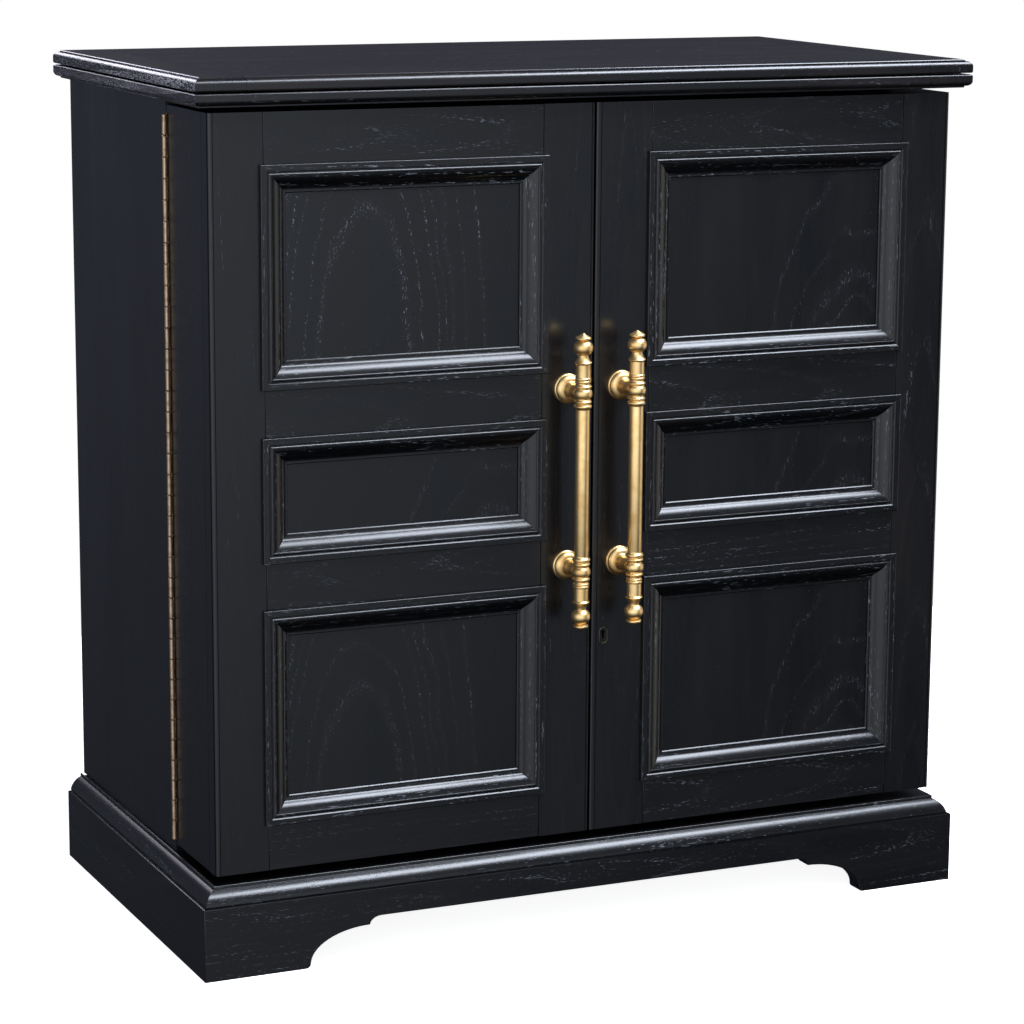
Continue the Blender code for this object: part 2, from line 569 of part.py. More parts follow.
class Door:
    """One box door: its limits in x, and the heights of its rails and openings."""

    def __init__(self, label, side):
        """label names the nodes; side is -1 for the left door and 1 for the right door."""
        self.label = label
        self.side = side
        self.outer = side * CASE_HALF
        half_gap = DOOR_MEETING_GAP if side < 0 else 0.0
        self.meeting = side * half_gap
        bead = MEETING_BEAD_WIDTH if side > 0 else 0.0
        self.stile_start = self.meeting + side * bead
        self.open_inner = self.stile_start + side * STILE_WIDTH
        self.open_outer = self.outer - side * STILE_WIDTH
        heights = [
            RAIL_BOTTOM, TALL_PANEL_SHARE, RAIL_MIDDLE, SHORT_PANEL_SHARE, RAIL_MIDDLE, TALL_PANEL_SHARE,
        ]
        levels = [DOOR_BOTTOM]
        for height in heights:
            levels.append(levels[-1] + height)
        self.rails = {
            "rail_bottom": (levels[0], levels[1]),
            "rail_lower": (levels[2], levels[3]),
            "rail_upper": (levels[4], levels[5]),
            "rail_top": (levels[6], DOOR_TOP),
        }
        self.openings = {
            "bottom": (levels[1], levels[2]),
            "middle": (levels[3], levels[4]),
            "top": (levels[5], levels[6]),
        }

    def span(self, first, second):
        """Two x values in rising order."""
        return min(first, second), max(first, second)

    def name(self, piece):
        """Node name of one of this door's pieces."""
        return self.label + "_door_" + piece

    def node(self, piece, mesh, finish, smooth_angle=None):
        """Add a piece of this door and put its origin on the hinge pin."""
        made = add_node(self.name(piece), mesh, finish, smooth_angle)
        set_origin(made, (self.side * HINGE_X, HINGE_Y, DOOR_BOTTOM))
        return made

    def board(self, piece, x_span, y_span, z_span, finish=EBONISED):
        """Add a rectangular piece of this door."""
        low = (x_span[0], y_span[0], z_span[0])
        high = (x_span[1], y_span[1], z_span[1])
        return self.node(piece, board_mesh(low, high), finish)

    def stile_outline(self, edge, inner, radius, quirk_face):
        """Plan (x, y) of a stile whose outer arris is a bead with a quirk beside it.

        edge is the x of the beaded side and inner the x of the plain side. quirk_face is
        how far from the edge the quirk on the front face lies.
        """
        into = math.copysign(1.0, inner - edge)
        back = DOOR_FACE_Y + FRAME_THICKNESS
        plan = [(inner, DOOR_FACE_Y), (inner, back), (edge, back)]
        round_part = arc((radius, radius), (radius, radius), 180, 270, ARC_STEPS // 2)
        plan += [(edge + into * along, DOOR_FACE_Y + deep) for along, deep in round_part]
        plan += [
            (edge + into * quirk_face, DOOR_FACE_Y),
            (edge + into * (quirk_face + QUIRK_WIDTH / 2), DOOR_FACE_Y + QUIRK_DEPTH),
            (edge + into * (quirk_face + QUIRK_WIDTH), DOOR_FACE_Y),
        ]
        return plan

    def build_frame(self):
        """Two stiles, four rails and three panels."""
        outer_plan = self.stile_outline(
            self.outer, self.open_outer, CORNER_RADIUS, CORNER_RADIUS + QUIRK_WIDTH
        )
        meeting_radius = CORNER_RADIUS / 2
        meeting_quirk = MEETING_BEAD_WIDTH - QUIRK_WIDTH if self.side > 0 else meeting_radius + QUIRK_WIDTH
        inner_plan = self.stile_outline(self.meeting, self.open_inner, meeting_radius, meeting_quirk)
        rise = (0, 0, DOOR_HEIGHT)
        for piece, plan in (("stile_outer", outer_plan), ("stile_inner", inner_plan)):
            points = [(x, y, DOOR_BOTTOM) for x, y in plan]
            self.node(piece, prism_mesh(points, rise), EBONISED)
        low_x, high_x = self.span(self.open_inner, self.open_outer)
        clear_x = (low_x + SEAT, high_x - SEAT)
        depth = (DOOR_FACE_Y, DOOR_FACE_Y + FRAME_THICKNESS)
        for piece, z_span in self.rails.items():
            self.board(piece, clear_x, depth, z_span)
        panel_depth = (DOOR_FACE_Y + PANEL_RECESS, DOOR_FACE_Y + PANEL_RECESS + PANEL_THICKNESS)
        for place, (low_z, high_z) in self.openings.items():
            z_span = (low_z + SEAT, high_z - SEAT)
            self.board("panel_" + place, clear_x, panel_depth, z_span, EBONISED_PANEL)

    def ring_section(self):
        """Moulding section as (inset from its outer edge, height above the door face)."""
        fillet = RING_FILLET_HEIGHT - PANEL_RECESS
        band_end = RING_BAND
        bead_start = band_end + RING_QUIRK
        slope_start = bead_start + RING_BEAD
        slope_end = slope_start + RING_SLOPE
        inner = slope_end + RING_FILLET
        waist = (RING_PROUD + fillet) / 2
        half_slope = RING_SLOPE / 2
        drop = RING_PROUD - waist
        section = [
            (RING_LAP + SEAT, SEAT),
            (0.0, SEAT),
            (0.0, RING_PROUD - RING_QUIRK / 2),
            (RING_QUIRK / 2, RING_PROUD),
            (band_end, RING_PROUD),
            (band_end + RING_QUIRK / 2, RING_PROUD - RING_QUIRK),
            (bead_start, RING_PROUD),
        ]
        section += arc((slope_start, waist), (half_slope, drop), 90, 0, ARC_STEPS // 2)
        section += arc((slope_end, waist), (half_slope, drop), 180, 270, ARC_STEPS // 2)[1:]
        section += [
            (inner, fillet),
            (inner, SEAT - PANEL_RECESS),
            (RING_LAP + SEAT, SEAT - PANEL_RECESS),
        ]
        return section

    def build_rings(self):
        """A mitred moulding ring round each panel."""
        low_x, high_x = self.span(self.open_inner, self.open_outer)
        low_x -= RING_LAP
        high_x += RING_LAP
        for place, (low_z, high_z) in self.openings.items():
            low = low_z - RING_LAP
            high = high_z + RING_LAP
            stations = [
                ((low_x, DOOR_FACE_Y, low), (1, 0, 1)),
                ((high_x, DOOR_FACE_Y, low), (-1, 0, 1)),
                ((high_x, DOOR_FACE_Y, high), (-1, 0, -1)),
                ((low_x, DOOR_FACE_Y, high), (1, 0, -1)),
            ]
            ring = swept_mesh(stations, self.ring_section(), (0, -1, 0), closed=True)
            self.node("moulding_" + place, ring, EBONISED, smooth_angle=35)

    def build_box(self):
        """The deep box behind the frame, and the shelf with its lip across it."""
        depth = (BOX_FRONT_Y, DOOR_RIM_Y)
        side_inner = self.outer - self.side * BOX_SIDE_THICKNESS
        meet_inner = self.meeting + self.side * BOX_BOARD_THICKNESS
        full = (DOOR_BOTTOM, DOOR_TOP)
        self.board("box_side", self.span(self.outer, side_inner), depth, full)
        self.board("box_inner", self.span(self.meeting, meet_inner), depth, full)
        low_x, high_x = self.span(side_inner, meet_inner)
        clear_x = (low_x + SEAT, high_x - SEAT)
        self.board("box_top", clear_x, depth, (DOOR_TOP - BOX_BOARD_THICKNESS, DOOR_TOP))
        self.board("box_bottom", clear_x, depth, (DOOR_BOTTOM, DOOR_BOTTOM + BOX_BOARD_THICKNESS))
        shelf = BOTTLE_SHELF_HEIGHT
        section = [
            (BOX_FRONT_Y, shelf),
            (DOOR_RIM_Y, shelf),
            (DOOR_RIM_Y, shelf + BOTTLE_SHELF_LIP),
            (DOOR_RIM_Y - BOX_BOARD_THICKNESS, shelf + BOTTLE_SHELF_LIP),
            (DOOR_RIM_Y - BOX_BOARD_THICKNESS, shelf + BOX_BOARD_THICKNESS),
            (BOX_FRONT_Y, shelf + BOX_BOARD_THICKNESS),
        ]
        points = [(clear_x[0], y, z) for y, z in section]
        shelf_mesh = prism_mesh(points, (clear_x[1] - clear_x[0], 0, 0))
        self.node("bottle_shelf", shelf_mesh, INTERIOR)

    def build_pull(self):
        """A turned bar pull on two posts."""
        x = self.side * PULL_OFFSET
        axis_y = DOOR_FACE_Y - PULL_STANDOFF
        bar = turned_mesh(pull_profile(), PULL_SIDES)
        bmesh.ops.translate(bar, verts=bar.verts, vec=(x, axis_y, PULL_CENTRE_HEIGHT))
        self.node("pull_bar", bar, SATIN_BRASS, smooth_angle=40)
        for piece, sign in (("pull_post_upper", 1), ("pull_post_lower", -1)):
            post = turned_mesh(post_profile(), PULL_SIDES)
            height = PULL_CENTRE_HEIGHT + sign * PULL_POST_SPACING / 2
            spot = Matrix.Translation((x, DOOR_FACE_Y - SEAT, height))
            place = spot @ Matrix.Rotation(math.pi / 2, 4, "X")
            bmesh.ops.transform(post, matrix=place, verts=post.verts)
            self.node(piece, post, SATIN_BRASS, smooth_angle=40)

    def build(self):
        """Build every piece of the door."""
        self.build_frame()
        self.build_rings()
        self.build_box()
        self.build_pull()


def pull_half_turning():
    """Elements of half a pull, from its tip: length, end radius and middle radius or None."""
    return [
        (5.5 * MM, 9.0 * MM, None),
        (2.5 * MM, 9.0 * MM, None),
        (1.5 * MM, 6.0 * MM, None),
        (15.5 * MM, 6.4 * MM, PULL_LARGEST_RADIUS),
        (8.8 * MM, 10.2 * MM, 7.4 * MM),
        (1.2 * MM, 10.2 * MM, None),
        (1.5 * MM, 8.9 * MM, None),
        (15.5 * MM, 8.9 * MM, None),
        (3.5 * MM, 8.9 * MM, 9.9 * MM),
        (3.0 * MM, 8.9 * MM, 9.9 * MM),
        (3.5 * MM, 10.1 * MM, 8.6 * MM),
        (2.5 * MM, 10.1 * MM, None),
        (2.0 * MM, 9.3 * MM, None),
    ]


def pull_inner_turning():
    """Elements of half a pull between its post bead and its plain grip."""
    return [
        (3.0 * MM, 10.2 * MM, 9.0 * MM),
        (2.5 * MM, 10.2 * MM, None),
        (2.5 * MM, 10.2 * MM, 8.8 * MM),
        (3.5 * MM, 10.2 * MM, None),
        (3.0 * MM, PULL_GRIP_RADIUS, None),
    ]


def run_turning(elements, radius, height, steps):
    """Points (radius, height) down a run of turned elements, from a start point."""
    points = []
    for length, end, middle in elements:
        count = 1 if middle is None else steps
        for index in range(1, count + 1):
            share = index / count
            level = radius + (end - radius) * share
            if middle is not None:
                level += (middle - (radius + end) / 2) * math.sin(math.pi * share)
            points.append((level, height - length * share))
        radius = end
        height -= length
    return points, radius, height


def pull_profile():
    """Outline of the whole pull about its middle, from the top tip down."""
    ends = pull_half_turning()
    bead_half = 5.5 * MM
    half_length = PULL_POST_SPACING / 2 + bead_half + sum(length for length, _, _ in ends)
    upper = [(0.0, half_length)]
    run, radius, height = run_turning(ends, 0.0, half_length, 4)
    upper += run
    run, radius, height = run_turning([(2 * bead_half, radius, PULL_POST_BEAD_RADIUS)], radius, height, 4)
    upper += run
    run, radius, height = run_turning(pull_inner_turning(), radius, height, 2)
    upper += run
    lower = [(level, -z) for level, z in reversed(upper)]
    return upper + lower


def post_profile():
    """Outline of a post, from the door face at z = 0 to the bar."""
    reach = PULL_STANDOFF - PULL_POST_BEAD_RADIUS - 2 * SEAT
    neck = 9.0 * MM
    return [
        (0.0, reach),
        (neck * 0.6, reach),
        (neck * 0.72, reach * 0.7),
        (neck, reach * 0.4),
        (ROSETTE_RADIUS * 0.72, reach * 0.26),
        (ROSETTE_RADIUS * 0.86, reach * 0.2),
        (ROSETTE_RADIUS * 0.86, reach * 0.12),
        (ROSETTE_RADIUS, reach * 0.1),
        (ROSETTE_RADIUS, 0.0),
        (0.0, 0.0),
    ]


# ---------------------------------------------------------------- lock

def stadium(width, height, steps):
    """Outline (x, z) of a slot with round ends, upright, about the origin."""
    radius = width / 2
    reach = height / 2 - radius
    points = arc((0.0, reach), (radius, radius), 0, 180, steps)
    points += arc((0.0, -reach), (radius, radius), 180, 360, steps)
    return points


def keyhole_outline():
    """Outline (x, z) of the keyhole: a round top with a slot hanging from it."""
    half = KEYHOLE_SLOT_WIDTH / 2
    start = math.degrees(math.asin(half / KEYHOLE_RADIUS))
    points = arc((0.0, 0.0), (KEYHOLE_RADIUS, KEYHOLE_RADIUS), start - 90, 270 - start, 10)
    bottom = -KEYHOLE_SLOT_LENGTH
    return points + [(-half, bottom), (half, bottom)]


def build_lock(left, right):
    """Escutcheon, lock case and sliding bolt on the right door, with its holes."""
    centre_x = right.meeting + KEYHOLE_BACKSET
    stile = bpy.data.objects[right.name("stile_inner")]
    key_z = KEYHOLE_HEIGHT + KEYHOLE_SLOT_LENGTH / 2
    outline = [(centre_x + x, DOOR_FACE_Y - SEAT, key_z + z) for x, z in keyhole_outline()]
    subtract(stile, prism_mesh(outline, (0, FRAME_THICKNESS + 2 * SEAT, 0)), "keyhole_cutter")

    front_y = DOOR_FACE_Y - SEAT - ESCUTCHEON_THICKNESS
    plate_points = [
        (centre_x + x, front_y, KEYHOLE_HEIGHT + z)
        for x, z in stadium(ESCUTCHEON_WIDTH, ESCUTCHEON_HEIGHT, ARC_STEPS)
    ]
    plate = prism_mesh(plate_points, (0, ESCUTCHEON_THICKNESS, 0))
    escutcheon = right.node("keyhole_escutcheon", plate, AGED_BRASS)
    hole_points = [
        (centre_x + x, front_y - SEAT, KEYHOLE_HEIGHT + z)
        for x, z in stadium(
            ESCUTCHEON_WIDTH - 2 * ESCUTCHEON_RIM, ESCUTCHEON_HEIGHT - 2 * ESCUTCHEON_RIM, ARC_STEPS
        )
    ]
    hole = prism_mesh(hole_points, (0, ESCUTCHEON_THICKNESS + 2 * SEAT, 0))
    subtract(escutcheon, hole, "escutcheon_cutter")

    wall_x = right.meeting + BOX_BOARD_THICKNESS + SEAT
    case_low = Vector((wall_x, BOX_FRONT_Y, KEYHOLE_HEIGHT - LOCK_CASE_HEIGHT / 2))
    case_high = case_low + Vector((LOCK_CASE_WIDTH, LOCK_CASE_DEPTH, LOCK_CASE_HEIGHT))
    lock_case = right.node("lock_case", board_mesh(case_low, case_high), AGED_BRASS)

    bolt_y = BOX_FRONT_Y + LOCK_CASE_DEPTH / 2
    bolt_low = Vector((right.meeting + SEAT, bolt_y - BOLT_THICKNESS / 2, KEYHOLE_HEIGHT - BOLT_HEIGHT / 2))
    bolt_high = bolt_low + Vector((BOLT_LENGTH, BOLT_THICKNESS, BOLT_HEIGHT))
    bolt = add_node("lock_bolt", board_mesh(bolt_low, bolt_high), AGED_BRASS)
    set_origin(bolt, (bolt_low.x, bolt_y, KEYHOLE_HEIGHT))

    spare = Vector((0.0, BOLT_CLEARANCE, BOLT_CLEARANCE))
    pocket_low = Vector((wall_x - SEAT, bolt_low.y, bolt_low.z)) - spare
    pocket_high = Vector((bolt_high.x + BOLT_CLEARANCE, bolt_high.y, bolt_high.z)) + spare
    subtract(lock_case, board_mesh(pocket_low, pocket_high), "lock_pocket_cutter")
    for door, label in ((right, "bolt_slot_cutter"), (left, "strike_slot_cutter")):
        low_x, high_x = door.span(door.meeting, door.meeting + door.side * BOX_BOARD_THICKNESS)
        low = Vector((low_x - SEAT, bolt_low.y, bolt_low.z)) - spare
        high = Vector((high_x + SEAT, bolt_high.y, bolt_high.z)) + spare
        subtract(bpy.data.objects[door.name("box_inner")], board_mesh(low, high), label)


def main():
    """Build the whole cabinet."""
    clear_scene()
    build_plinth()
    build_base()
    build_case()
    build_top()
    build_hinges()
    left = Door("left", -1)
    right = Door("right", 1)
    left.build()
    right.build()
    build_lock(left, right)


main()
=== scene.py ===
"""Folding-top bar cabinet in ebonised oak, with turned brass pulls and continuous hinges.

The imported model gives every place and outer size. The classes below give it moulded sections,
eased arrises, breadboard ends, hinge knuckles, screws and the finishes of the real materials.
"""
import logging
import math
import random
from dataclasses import dataclass, field, replace
from enum import Enum
from typing import Optional, Sequence

import bmesh
import bpy
from mathutils import Matrix, Vector


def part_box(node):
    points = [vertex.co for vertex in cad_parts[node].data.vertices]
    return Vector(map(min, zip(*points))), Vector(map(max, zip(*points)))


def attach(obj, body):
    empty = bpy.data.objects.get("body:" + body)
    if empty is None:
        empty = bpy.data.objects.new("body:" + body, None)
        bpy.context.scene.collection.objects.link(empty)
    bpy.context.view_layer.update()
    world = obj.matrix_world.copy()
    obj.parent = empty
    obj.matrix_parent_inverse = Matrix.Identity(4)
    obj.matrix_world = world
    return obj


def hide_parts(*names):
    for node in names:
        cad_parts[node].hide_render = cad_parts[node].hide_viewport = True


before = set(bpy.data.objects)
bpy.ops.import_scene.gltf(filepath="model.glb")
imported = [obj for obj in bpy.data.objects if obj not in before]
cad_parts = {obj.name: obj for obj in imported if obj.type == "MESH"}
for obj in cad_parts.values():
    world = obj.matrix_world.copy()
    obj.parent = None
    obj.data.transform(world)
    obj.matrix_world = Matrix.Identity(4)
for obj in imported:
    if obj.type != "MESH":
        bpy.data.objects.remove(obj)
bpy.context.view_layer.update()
LOG = logging.getLogger("cabinet")
MM = 0.001
Mesh = bmesh.types.BMesh
Material = bpy.types.Material
Node = bpy.types.Node
Socket = bpy.types.NodeSocket
Tree = bpy.types.NodeTree
Setting = object
Stops = Sequence[tuple[float, str]]


# ------------------------------------------------------------------ profiles and solids

@dataclass
class Section:
    """An outline drawn point by point, the way a cutter's profile is drawn."""

    points: list[tuple[float, float]] = field(default_factory=list)

    def to(self, *places: tuple[float, float]) -> "Section":
        """Add straight runs to the given places, in metres, and return the section."""
        self.points.extend(places)
        return self

    def sweep(
        self, centre: tuple[float, float], radii: tuple[float, float],
        start: float, end: float, steps: int = 8,
    ) -> "Section":
        """Add an elliptical arc.

        Args:
            centre: middle of the arc.
            radii: the two half axes.
            start: first angle in degrees.
            end: last angle in degrees.
            steps: number of straight parts.

        Returns:
            The section itself.
        """
        for index in range(steps + 1):
            angle = math.radians(start + (end - start) * index / steps)
            self.points.append(
                (centre[0] + radii[0] * math.cos(angle), centre[1] + radii[1] * math.sin(angle))
            )
        return self

    def bend(self, radius: float, start: float, end: float, steps: int = 8) -> "Section":
        """Carry on from the last point along an arc of a radius, between two angles in degrees."""
        last = self.points[-1]
        angle = math.radians(start)
        centre = (last[0] - radius * math.cos(angle), last[1] - radius * math.sin(angle))
        self.points.pop()
        return self.sweep(centre, (radius, radius), start, end, steps)


def ease_arrises(mesh: Mesh, width: float, segments: int = 2, least: float = 40.0) -> Mesh:
    """Round off every edge that turns by more than the least angle, in degrees."""
    bmesh.ops.recalc_face_normals(mesh, faces=mesh.faces)
    sharp = [e for e in mesh.edges if e.is_manifold and e.calc_face_angle() > math.radians(least)]
    bmesh.ops.bevel(
        mesh, geom=sharp, offset=width, segments=segments, profile=0.5, affect="EDGES", material=-1
    )
    return mesh


def eased_board(low: Sequence[float], high: Sequence[float], ease: float = 0.5 * MM) -> Mesh:
    """A board between two opposite corners with a width taken off its arrises."""
    mesh = bmesh.new()
    bmesh.ops.create_cube(mesh, size=1.0)
    bmesh.ops.scale(mesh, vec=Vector(high) - Vector(low), verts=mesh.verts)
    bmesh.ops.translate(mesh, vec=(Vector(high) + Vector(low)) / 2, verts=mesh.verts)
    return ease_arrises(mesh, ease)


def extruded(section: Section, length: float) -> Mesh:
    """A section drawn in the XY plane and pushed along +Z by a length."""
    mesh = bmesh.new()
    outline = mesh.faces.new([mesh.verts.new((x, y, 0.0)) for x, y in section.points])
    grown = bmesh.ops.extrude_face_region(mesh, geom=[outline], use_keep_orig=True)
    moved = [item for item in grown["geom"] if isinstance(item, bmesh.types.BMVert)]
    bmesh.ops.translate(mesh, verts=moved, vec=(0.0, 0.0, length))
    return mesh


def cut_away(mesh: Mesh, point: Sequence[float], normal: Sequence[float]) -> Mesh:
    """Saw off what lies on the normal's side of a plane and close the sawn face."""
    everything = mesh.verts[:] + mesh.edges[:] + mesh.faces[:]
    bmesh.ops.bisect_plane(
        mesh, geom=everything, dist=1e-7, plane_co=point, plane_no=normal, clear_outer=True
    )
    open_edges = [edge for edge in mesh.edges if edge.is_boundary]
    bmesh.ops.holes_fill(mesh, edges=open_edges, sides=0)
    return mesh


def run_place(origin: Sequence[float], along: Sequence[float], inset: Sequence[float]) -> Matrix:
    """The matrix that lays a run on the object.

    Args:
        origin: where the run's own origin goes.
        along: direction of the run's length.
        inset: direction in which the section is drawn in.

    Returns:
        A rotation and a shift, with the section's height along their cross product.
    """
    first = Vector(along)
    second = Vector(inset)
    turn = Matrix((first, second, first.cross(second))).transposed().to_4x4()
    return Matrix.Translation(Vector(origin)) @ turn


def mitred_run(
    section: Section, length: float, place: Matrix, mitres: tuple[bool, bool] = (True, True)
) -> Mesh:
    """A length of moulding, sawn to 45 degrees where it meets the next one.

    Args:
        section: outline as (inset, height).
        length: full length along the outer edge.
        place: matrix from run_place.
        mitres: whether the start and the end are mitred.

    Returns:
        The run's mesh, in its place.
    """
    hairline = 0.06 * MM
    mesh = extruded(section, length)
    bmesh.ops.transform(mesh, matrix=Matrix(((0, 0, 1), (1, 0, 0), (0, 1, 0))).to_4x4(), verts=mesh.verts)
    if mitres[0]:
        cut_away(mesh, (hairline, 0, 0), (-1, 1, 0))
    if mitres[1]:
        cut_away(mesh, (length - hairline, 0, 0), (1, 1, 0))
    bmesh.ops.transform(mesh, matrix=place, verts=mesh.verts)
    return mesh


def turned(section: Section, steps: int = 40) -> Mesh:
    """A profile of (radius, height) turned about Z; poles and doubled points are merged."""
    mesh = bmesh.new()
    points = [mesh.verts.new((radius, 0.0, height)) for radius, height in section.points]
    edges = [mesh.edges.new(pair) for pair in zip(points, points[1:])]
    bmesh.ops.spin(
        mesh, geom=points + edges, cent=(0, 0, 0), axis=(0, 0, 1),
        angle=math.tau, steps=steps, use_merge=True,
    )
    bmesh.ops.remove_doubles(mesh, verts=mesh.verts, dist=1e-6)
    return mesh


def gathered(parts: Sequence[tuple[Mesh, int]]) -> Mesh:
    """One mesh out of several, each with the index of the finish it wears."""
    whole = bmesh.new()
    for mesh, finish in parts:
        bmesh.ops.recalc_face_normals(mesh, faces=mesh.faces)
        for face in mesh.faces:
            face.material_index = finish
        holder = bpy.data.meshes.new("holder")
        mesh.to_mesh(holder)
        mesh.free()
        whole.from_mesh(holder)
        bpy.data.meshes.remove(holder)
    return whole


def moved(mesh: Mesh, place: Matrix) -> Mesh:
    """The same mesh after a shift or turn."""
    bmesh.ops.transform(mesh, matrix=place, verts=mesh.verts)
    return mesh


def slotted_screw(radius: float) -> Mesh:
    """A countersunk screw head facing +Z, its face at z = 0, with one slot across it."""
    parts = [(turned(Section([(0.0, -0.5 * MM), (radius, -0.5 * MM), (radius, -0.9 * MM)]), 14), 0)]
    rim = Section([(0.0, 0.0), (radius - 0.15 * MM, 0.0), (radius, -0.15 * MM), (radius, -0.5 * MM)])
    for side in (-1.0, 1.0):
        half = turned(rim, 14)
        cut_away(half, (0, side * 0.35 * MM, 0), (0, -side, 0))
        parts.append((half, 0))
    return gathered(parts)


def driven_screws(
    radius: float, facing: float, places: Sequence[tuple[Sequence[float], float]]
) -> Mesh:
    """Screw heads turned about X by the facing angle, each at a (spot, angle of its slot)."""
    heads = []
    for spot, angle in places:
        turn = Matrix.Rotation(facing, 4, "X") @ Matrix.Rotation(angle, 4, "Z")
        heads.append((moved(slotted_screw(radius), Matrix.Translation(spot) @ turn), 0))
    return gathered(heads)


# ------------------------------------------------------------------ finishes

def linear(colour: str) -> tuple[float, float, float, float]:
    """An sRGB hex colour such as "#8C7A5B" as linear values with full alpha."""
    parts = [int(colour[start:start + 2], 16) / 255 for start in (1, 3, 5)]
    channels = [p / 12.92 if p <= 0.04045 else ((p + 0.055) / 1.055) ** 2.4 for p in parts]
    return channels[0], channels[1], channels[2], 1.0


def add_shader(
    tree: Tree, kind: str, sockets: Optional[dict[object, Setting]] = None, **settings: Setting,
) -> Node:
    """Add any node with its settings and links.

    Args:
        tree: node tree to add to.
        kind: the node's type name without "ShaderNode".
        sockets: input name or number to a value, or to the output socket that feeds it.
        settings: the node's own properties.

    Returns:
        The new node.
    """
    node = tree.nodes.new("ShaderNode" + kind)
    for name, value in settings.items():
        setattr(node, name, value)
    for name, value in (sockets or {}).items():
        if isinstance(value, Socket):
            tree.links.new(value, node.inputs[name])
        else:
            node.inputs[name].default_value = value
    return node


def empty_material(name: str) -> tuple[Material, Tree, Node]:
    """A node material with nothing but its output, as (material, tree, output)."""
    material = bpy.data.materials.new(name)
    material.use_nodes = True
    tree = material.node_tree
    tree.nodes.clear()
    return material, tree, tree.nodes.new("ShaderNodeOutputMaterial")


def spread(tree: Tree, place: Socket, lengths: Sequence[float]) -> Socket:
    """Coordinates whose unit along each axis is the given length in metres."""
    scale = tuple(1 / length for length in lengths)
    return add_shader(tree, "Mapping", {"Vector": place, "Scale": scale}).outputs[0]


def clouds(
    tree: Tree, place: Socket, detail: float, roughness: float = 0.5, scale: float = 1.0
) -> Socket:
    """Fractal noise over the given coordinates."""
    return add_shader(tree, "TexNoise", {
        "Vector": place, "Scale": scale, "Detail": detail, "Roughness": roughness,
    }).outputs["Fac"]


def computed(tree: Tree, operation: str, *values: Setting) -> Socket:
    """The result of a Math node."""
    return add_shader(tree, "Math", dict(enumerate(values)), operation=operation).outputs[0]


def remapped(
    tree: Tree, value: Socket, source: tuple[float, float] = (0.0, 1.0),
    target: tuple[float, float] = (0.0, 1.0),
) -> Socket:
    """A value carried over, and clamped, from one range to another."""
    return add_shader(tree, "MapRange", {
        "Value": value, "From Min": source[0], "From Max": source[1],
        "To Min": target[0], "To Max": target[1],
    }).outputs[0]


def blended(tree: Tree, share: Setting, first: Setting, second: Setting, way: str = "MIX") -> Socket:
    """Two colours blended by a share."""
    sockets = {0: share, 6: first, 7: second}
    return add_shader(tree, "Mix", sockets, data_type="RGBA", blend_type=way).outputs[2]


def shaded(tree: Tree, value: Socket, stops: Stops) -> Socket:
    """The colour that a value has on a ramp of (place, hex colour) stops."""
    node = add_shader(tree, "ValToRGB", {"Fac": value})
    scale = node.color_ramp
    while len(scale.elements) < len(stops):
        scale.elements.new(1.0)
    for element, (place, colour) in zip(scale.elements, stops):
        element.position = place
        element.color = linear(colour)
    return node.outputs[0]


def close_surface(
    tree: Tree, output: Node, relief: Socket, bump: tuple[float, float],
    sockets: dict[object, Setting],
) -> None:
    """Feed a surface and its relief, of a (strength, depth), to a material's output."""
    normal = add_shader(tree, "Bump", {
        "Height": relief, "Strength": bump[0], "Distance": bump[1],
    }).outputs[0]
    shader = add_shader(tree, "BsdfPrincipled", {**sockets, "Normal": normal})
    tree.links.new(shader.outputs[0], output.inputs[0])


class Grain(Enum):
    """Which way a board's fibres run, with the turn that lays them along the pattern's X."""

    SIDEWAYS = (0.0, 0.0, 0.0)
    DEEP = (0.0, 0.0, -math.pi / 2)
    UPRIGHT = (0.0, math.pi / 2, 0.0)

    def turn(self) -> Matrix:
        """The turn as a matrix."""
        angles = self.value
        return Matrix.Rotation(angles[2], 3, "Z") @ Matrix.Rotation(angles[1], 3, "Y")


